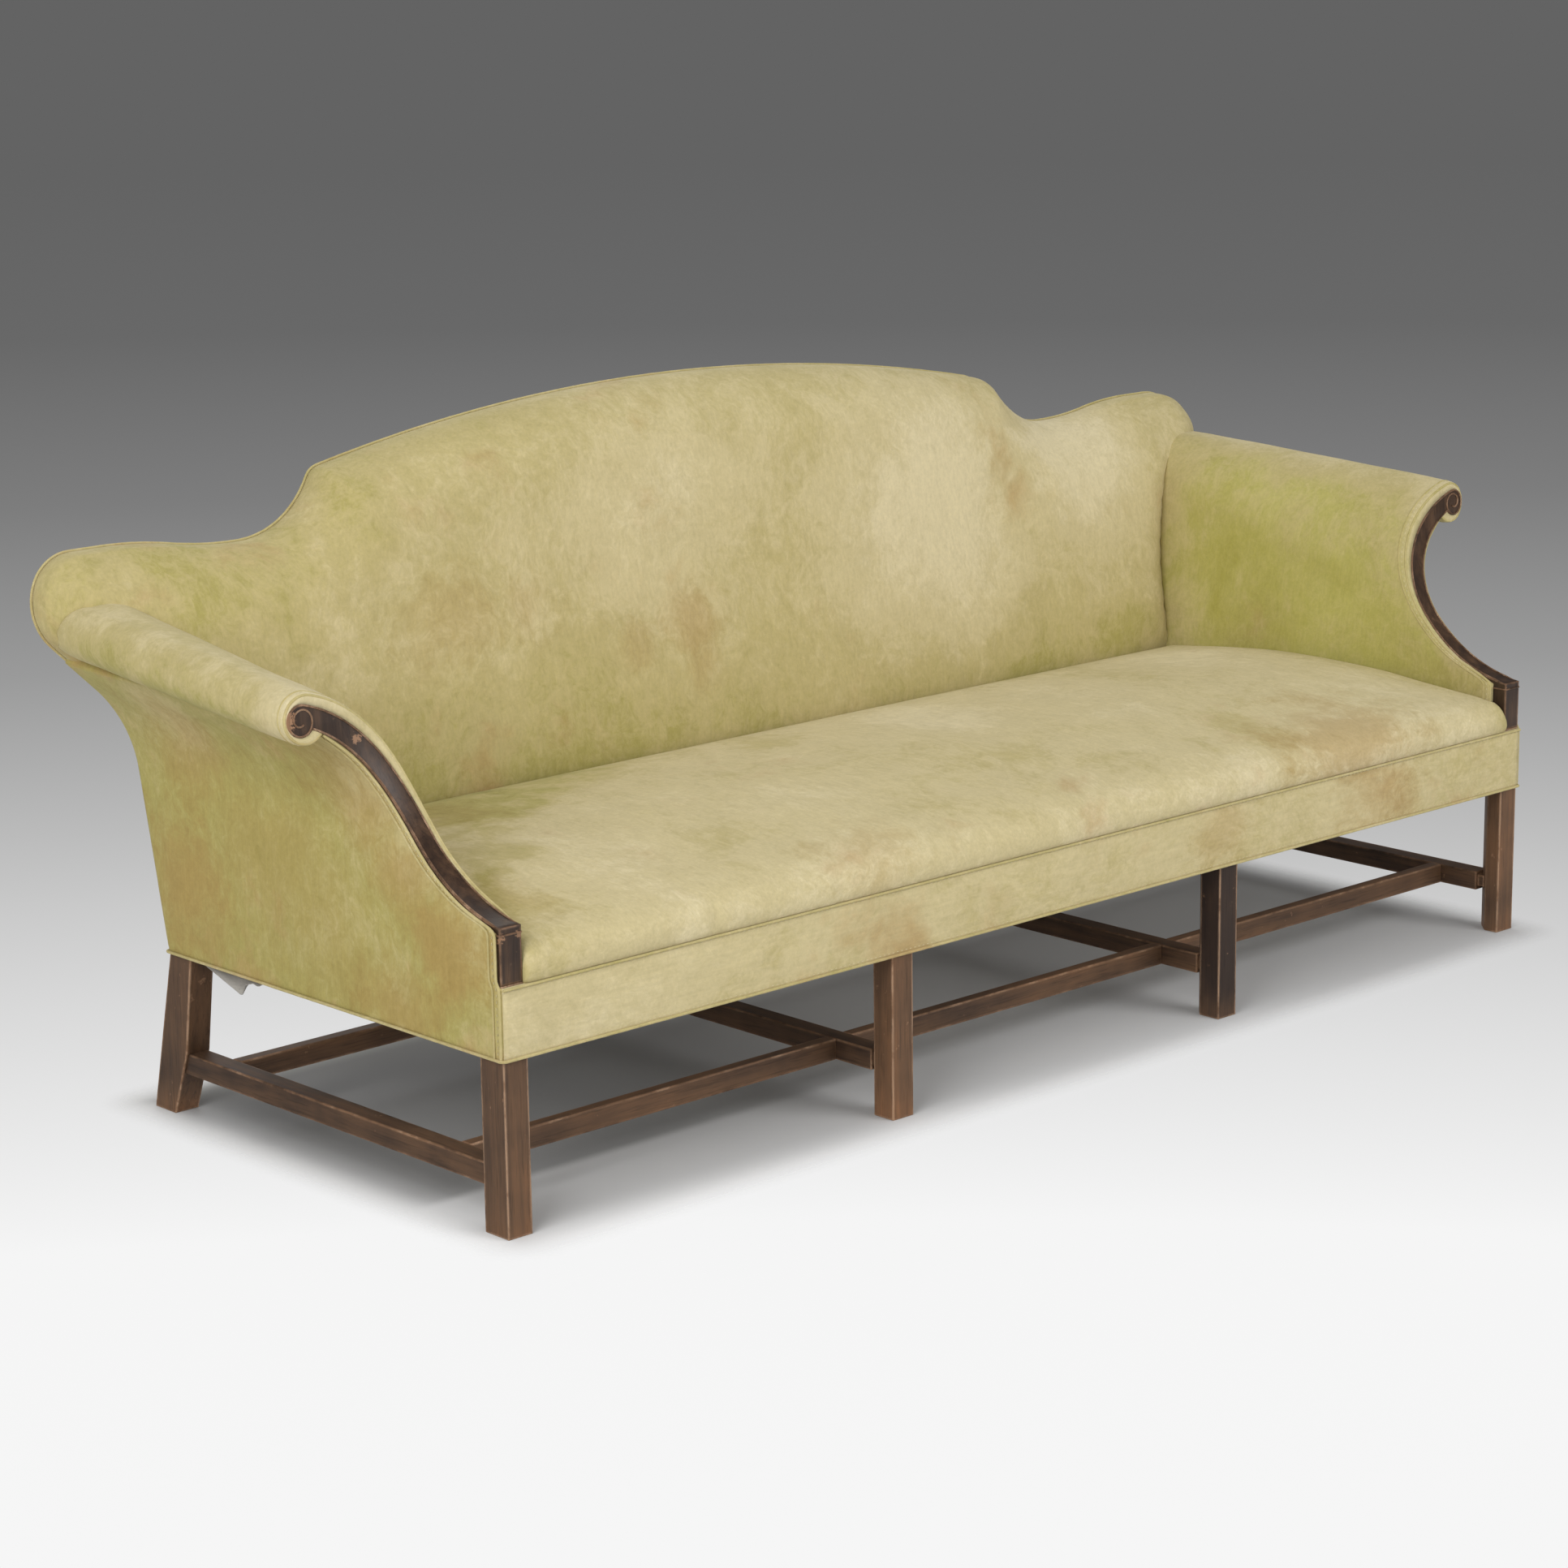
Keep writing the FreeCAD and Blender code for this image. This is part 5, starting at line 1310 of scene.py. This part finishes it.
def makeLining(finish):
    s = liningShape
    across, down = np.meshgrid(np.linspace(-1, 1, s["columns"]), np.linspace(-1, 1, s["rows"]), indexing="ij")
    wide, long = s["half"]
    x, y = across * wide, s["middle"] + down * long
    near = np.minimum(wide - np.abs(x), long - np.abs(y - s["middle"]))
    wave = lumps(x, y, 0, (s["lump"], 6.0, 71.0))
    fallen = sum(drop * rising(np.abs(y - middle), reach, 0) for middle, reach, drop in s["loose"])
    fallen = fallen * rising(x, s["looseReach"] - wide, -wide) ** 1.5
    z = s["top"] - smooth(rising(near, *s["sagFrom"])) * (s["sag"] + wave) - fallen
    x = x + fallen * s["looseIn"] / s["loose"][0][2]
    upper, lower = (np.stack([x, y, z - thick], -1) for thick in (0, s["thick"]))
    return shell("lining", upper, lower, finish, 0.0), flatSize(upper)


# Floor, backdrop and light

floorLook = {
    "half": 9.0,
    # Where the painted shadow lies under the object; deep, light and deepFrom set how dark it is
    "shadowHalf": (1.055, 0.415),
    "shadowMiddle": -0.035,
    "fade": (-0.01, 0.09),
    "soft": (-0.05, 0.05),
    "shade": 225,
    "pale": 0.97,
    "deep": (0.42, 0.50, -0.75, 0.15),
    "light": (0.70, 0.20, -0.60, 0.30),
    "deepFrom": (-0.275, -0.245),
    "eye": (-4.0656, -4.2089, 0.0),
    "eyeHeight": 1.7328,
    "levels": [(-24, 246), (-19.6, 245), (-17.2, 227), (-16, 216), (-14.8, 203), (-13.6, 187),
               (-12.45, 171), (-11.3, 154), (-8.9, 125), (-6.5, 104), (-4.2, 99), (-2.3, 99)],
}

lightLook = {
    "sky": 0.33,
    "aim": (0, 0, 0.4),
    "lamps": {
        "left": (148, (-4.6, -1.8, 2.8), 2.8),
        "front": (146, (1.4, -5.0, 3.0), 3.2),
        "top": (20, (-0.2, 0.9, 4.2), 1.8),
        "behind": (45, (2.2, 4.4, 3.0), 3.0),
    },
}


# The grey levels in floorLook, for heights of view in degrees, along a way from first to last
def ramped(spots, last):
    first = spots[0]
    greys = [grey(level) for e, level in floorLook["levels"]]
    return [((spot - first) / (last - first), shade) for spot, shade in zip(spots, greys)]


def makeFloor():
    f = floorLook
    h = f["half"]
    mesh = bpy.data.meshes.new("floor")
    mesh.from_pydata([(-h, -h, 0), (h, -h, 0), (h, h, 0), (-h, h, 0)], [], [(0, 1, 2, 3)])
    made, where = newMaterial("floor_paint")
    x, y = where.axis(0), where.axis(1)
    far = [f["eyeHeight"] / math.tan(math.radians(-e)) for e, level in f["levels"]]
    spread = (where.vector("DISTANCE", f["eye"], 1) - far[0]) / (far[-1] - far[0])
    colour = spread.add("ValToRGB", {0: spread}, stops=ramped(far, far[-1]))
    # Distance from the painted shadow's edge, negative under the object
    across = abs(x) - f["shadowHalf"][0]
    along = abs(y - f["shadowMiddle"]) - f["shadowHalf"][1]
    outside = across.most(0.0) * across.most(0.0) + along.most(0.0) * along.most(0.0)
    away = outside.maths("SQRT", outside) + across.most(along).least(0.0)
    seen = where.add("LightPath")
    # Painted shadow: the floor darkened under the object, deep behind and lighter at the front, with a step
    # between
    shadowMask = 1.0 - away.ease(*f["soft"])
    deep, light = (x.ease(start, end) * rise + low for low, rise, start, end in (f["deep"], f["light"]))
    paintedShadow = light + y.ease(*f["deepFrom"]) * (deep - light)
    shown = seen.blend(grey(f["shade"]), colour.scaled(shadowMask * (paintedShadow - f["pale"]) + f["pale"]))
    matt, glass = where.add("BsdfDiffuse", {"Color": shown}), where.add("BsdfTransparent")
    both = where.add("MixShader", {0: away.ease(*f["fade"]) * seen, 1: matt, 2: glass})
    where.add("OutputMaterial", {"Surface": both})
    mesh.materials.append(made)
    added("floor", mesh)


def makeWorld():
    world = scene.world = bpy.data.worlds.new("backdrop")
    world.use_nodes = True
    world.node_tree.nodes.clear()
    wire = Wire(world.node_tree)
    up = wire.add("TexCoord").axis(2)
    rise = [math.sin(math.radians(e)) for e, level in floorLook["levels"]]
    colour = up.add("ValToRGB", {0: (up - rise[0]) / -rise[0]}, stops=ramped(rise, 0))
    path = wire.add("LightPath").socket.node.outputs
    rays = ("Is Camera Ray", "Is Glossy Ray", "Is Transmission Ray")
    camera, glossy, through = (Wire(wire.tree, path[ray]) for ray in rays)
    plain = wire.add("Background", {0: (1, 1, 1, 1), 1: lightLook["sky"]})
    backdrop = wire.add("Background", {0: colour, 1: 1.0})
    both = wire.add("MixShader", {0: camera.most(glossy).most(through), 1: plain, 2: backdrop})
    wire.add("OutputWorld", {0: both})


def makeLamp(name, power, place, size):
    lamp = bpy.data.lights.new(name, "AREA")
    lamp.energy, lamp.size = power, size
    holder = added(name, lamp)
    holder.location = place
    holder.rotation_euler = (Vector(lightLook["aim"]) - Vector(place)).to_track_quat("-Z", "Y").to_euler()


makeFloor()
makeWorld()
for name, values in lightLook["lamps"].items():
    makeLamp(name, *values)
print("floor and lights ready")


# Finishes

velvet = {name: makeVelvet(name, *values) for name, values in {
    "velvet_back": (
        0.0, 0.02, 2,
        [((-0.57, 0.289, 0.646), 0.11, 0.4), ((-0.09, 0.272, 0.575), 0.08, 0.65),
         ((-0.09, 0.272, 0.525), 0.06, 0.5), ((-0.22, 0.272, 0.565), 0.05, 0.4),
         ((-0.43, 0.292, 0.663), 0.08, 0.4)],
        [((-0.90, 0.32, 0.75), 0.22, -0.15), ((-0.73, 0.33, 0.82), 0.14, -0.07),
         ((-0.51, 0.241, 0.42), 0.20, 0.04), ((0.70, 0.243, 0.43), 0.22, -0.06),
         ((-0.15, 0.308, 0.74), 0.24, 0.24), ((0.46, 0.296, 0.68), 0.34, 0.44),
         ((0.85, 0.32, 0.74), 0.20, 0.40), ((0.0, 0.33, 0.86), 0.22, 0.14),
         ((0.87, 0.25, 0.46), 0.13, -0.08)], 0.85),
    "velvet_seat": (
        0.0, 0.03, 1,
        [((0.66, -0.43, 0.38), 0.20, 0.75), ((-0.39, -0.43, 0.40), 0.11, 0.45),
         ((-0.95, -0.30, 0.42), 0.10, 0.35), ((-0.75, 0.10, 0.42), 0.12, 0.4)],
        # The dark patches by the left arm and along the back are painted shade in the creases
        [((-0.70, 0.09, 0.42), 0.17, -0.50), ((-0.50, 0.15, 0.42), 0.14, -0.35),
         ((-0.95, -0.30, 0.42), 0.11, -0.28), ((-0.88, -0.10, 0.42), 0.17, -0.35),
         ((-0.125, 0.14, 0.42), 0.13, -0.22), ((0.51, -0.34, 0.42), 0.15, -0.18),
         ((-0.72, -0.24, 0.42), 0.18, 0.08), ((-0.31, -0.24, 0.42), 0.15, 0.18),
         ((0.16, 0.02, 0.42), 0.18, 0.26), ((0.84, 0.06, 0.42), 0.20, 0.16),
         ((0.45, 0.04, 0.42), 0.16, 0.14)], 1.35),
    "velvet_arm": (
        0.08, -0.06, 2,
        [((-1.07, -0.05, 0.47), 0.08, 0.4)],
        [((1.0, 0.17, 0.58), 0.14, -0.22), ((1.0, 0.06, 0.49), 0.14, -0.15),
         ((-1.22, 0.10, 0.67), 0.12, -0.30), ((-1.21, -0.10, 0.68), 0.08, -0.20),
         ((-1.23, -0.03, 0.65), 0.13, -0.16), ((-1.22, 0.24, 0.70), 0.12, -0.16)],
        # The fresh patches brighten the inside of the right arm, partly painted light
        1.0, [((1.0, 0.14, 0.57), 0.20, 0.60), ((1.0, -0.06, 0.55), 0.22, 0.65),
              ((1.02, -0.17, 0.49), 0.15, 0.45)]),
    "velvet_side": (
        -0.01, 0.10, 2,
        [((-1.07, 0.257, 0.338), 0.16, 0.95), ((-1.07, -0.36, 0.38), 0.13, 1.0),
         ((-1.07, -0.25, 0.47), 0.10, 0.8), ((-1.08, -0.16, 0.57), 0.14, 0.75),
         ((-1.08, 0.22, 0.56), 0.15, 0.7), ((-1.07, -0.22, 0.27), 0.14, 0.8),
         ((-1.07, 0.06, 0.42), 0.20, 0.45), ((-1.07, -0.08, 0.33), 0.16, 0.4)],
        [((-1.07, 0.03, 0.40), 0.17, 0.08), ((-1.10, 0.20, 0.64), 0.14, 0.24)]),
    "velvet_band": (
        0.02, 0.04, 0,
        [((0.70, -0.45, 0.30), 0.13, 0.95), ((0.34, -0.45, 0.28), 0.09, 0.5)],
        [((-0.9, -0.45, 0.3), 0.2, 0.08)], 0.8),
    "velvet_rear": (0.0, 0.03, 2),
    "velvet_welt": (0.58, 0.04, 2),
}.items()}
linen = makeCanvas("lining_cloth", (182, 178, 170), 1400)
jute = makeCanvas("jute_web", (150, 126, 86), 700)
sacking = makeCanvas("hessian_cloth", (160, 134, 92), 800)
hair = makeCanvas("hair_stuffing", (84, 66, 48), 300)
thread = makeCanvas("seam_thread", (206, 196, 160), 2000)
iron = makeMetal("tack_iron", (70, 66, 62), (92, 60, 40))
steel = makeMetal("screw_steel", (150, 146, 140), (110, 84, 62))
standing = makeWood("mahogany_upright", 2, 0.10, 0.17, 0.45, True, tones=[
    ((x, -0.43, 0.12), 0.25, amount) for x, amount in ((-0.35, 0.16), (0.35, -0.34), (1.05, 0.14))])
lying = makeWood("mahogany_long", 0, 0.15, 0.04, 0.5)
crossing = makeWood("mahogany_cross", 1, 0.05, 0.0, 0.5)
carved = makeWood("mahogany_facing", 2, -0.10, 0.03, 0.26, False, [
    ((-1.2155, -0.207, 0.682), 0.013, 1.0), ((-1.2165, -0.207, 0.668), 0.013, 1.0),
    ((-1.1114, -0.2114, 0.6378), 0.009, 0.8), ((-1.0711, -0.4444, 0.4046), 0.008, 0.9),
    ((-1.0376, -0.4444, 0.4087), 0.006, 0.7)])
beech = makeWood("sawn_beech", 0, 0.55, 0.0, 0.7)

finishes = {"show_wood": standing, "frame_wood": beech, "velvet": velvet["velvet_back"],
            "piping_velvet": velvet["velvet_welt"], "dust_cloth": linen, "webbing": jute, "hessian": sacking,
            "stuffing": hair, "tack_metal": iron, "screw_metal": steel}

edging = {"width": 0.0013, "segments": 3, "limit_method": "ANGLE", "angle_limit": math.radians(35)}

for part in frame["record"]["subparts"]:
    name, finish = part["node"], finishes[part["material_slot"]]
    if "stretcher" in name:
        finish = crossing if name.startswith("cross") else lying
    if "facing" in name and "screw" not in name:
        finish = carved
    node = nodes[name]
    if not node.material_slots:
        node.data.materials.append(finish)
    for holder in node.material_slots:
        holder.material = finish
    if part["material_slot"] == "show_wood":
        node.modifiers.new("weld", "WELD").merge_threshold = 1e-5
        bevel = node.modifiers.new("bevel", "BEVEL")
        for setting, value in edging.items():
            setattr(bevel, setting, value)
print("finishes ready")


# Covers in place

def place(piece, slot, *names):
    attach(piece, "root")
    if names:
        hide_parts(*names)


insideBack = makeInsideBack(velvet["velvet_back"])
place(insideBack, "velvet", "inside_back_cover", "back_stuffing")
print("back ready")

seat = makeSeat(velvet["velvet_seat"])
place(seat, "velvet", "seat_cover", "seat_stuffing")
print("seat ready")

for side, label in sideName.items():
    arm = makeInsideArm(side, velvet["velvet_arm"])
    place(arm, "velvet", label + "_inside_arm_cover", label + "_arm_stuffing")
    panel, (across, down, area) = makeOutsideArm(side, velvet["velvet_side"])
    place(panel, "velvet", label + "_outside_arm_cover")
    print(label, "arm ready, outside panel", round(across, 3), round(down, 3), round(area, 3))

band, (across, down, area) = makeBand(velvet["velvet_band"])
place(band, "velvet", "front_band_cover")
print("band ready", round(across, 3), round(down, 3))

rear, area = makeOutsideBack(velvet["velvet_rear"])
place(rear, "velvet", "outside_back_cover")
print("rear ready", round(area, 3))

lining, (across, down, area) = makeLining(linen)
place(lining, "dust_cloth", "dust_cover")
print("lining ready", round(across, 3), round(down, 3), round(area, 3))

cord = cordTree()
welts, doubles, seams, heads = makeTrim(cord, velvet["velvet_welt"], thread, iron)
place(welts, "piping_velvet", "piping")
place(doubles, "piping_velvet")
for side in sideName:
    place(makeBeads(side, cord, carved), "show_wood")
place(seams, "piping_velvet")
place(heads, "tack_metal", "tacks")
print("welts, stitches and tacks ready")
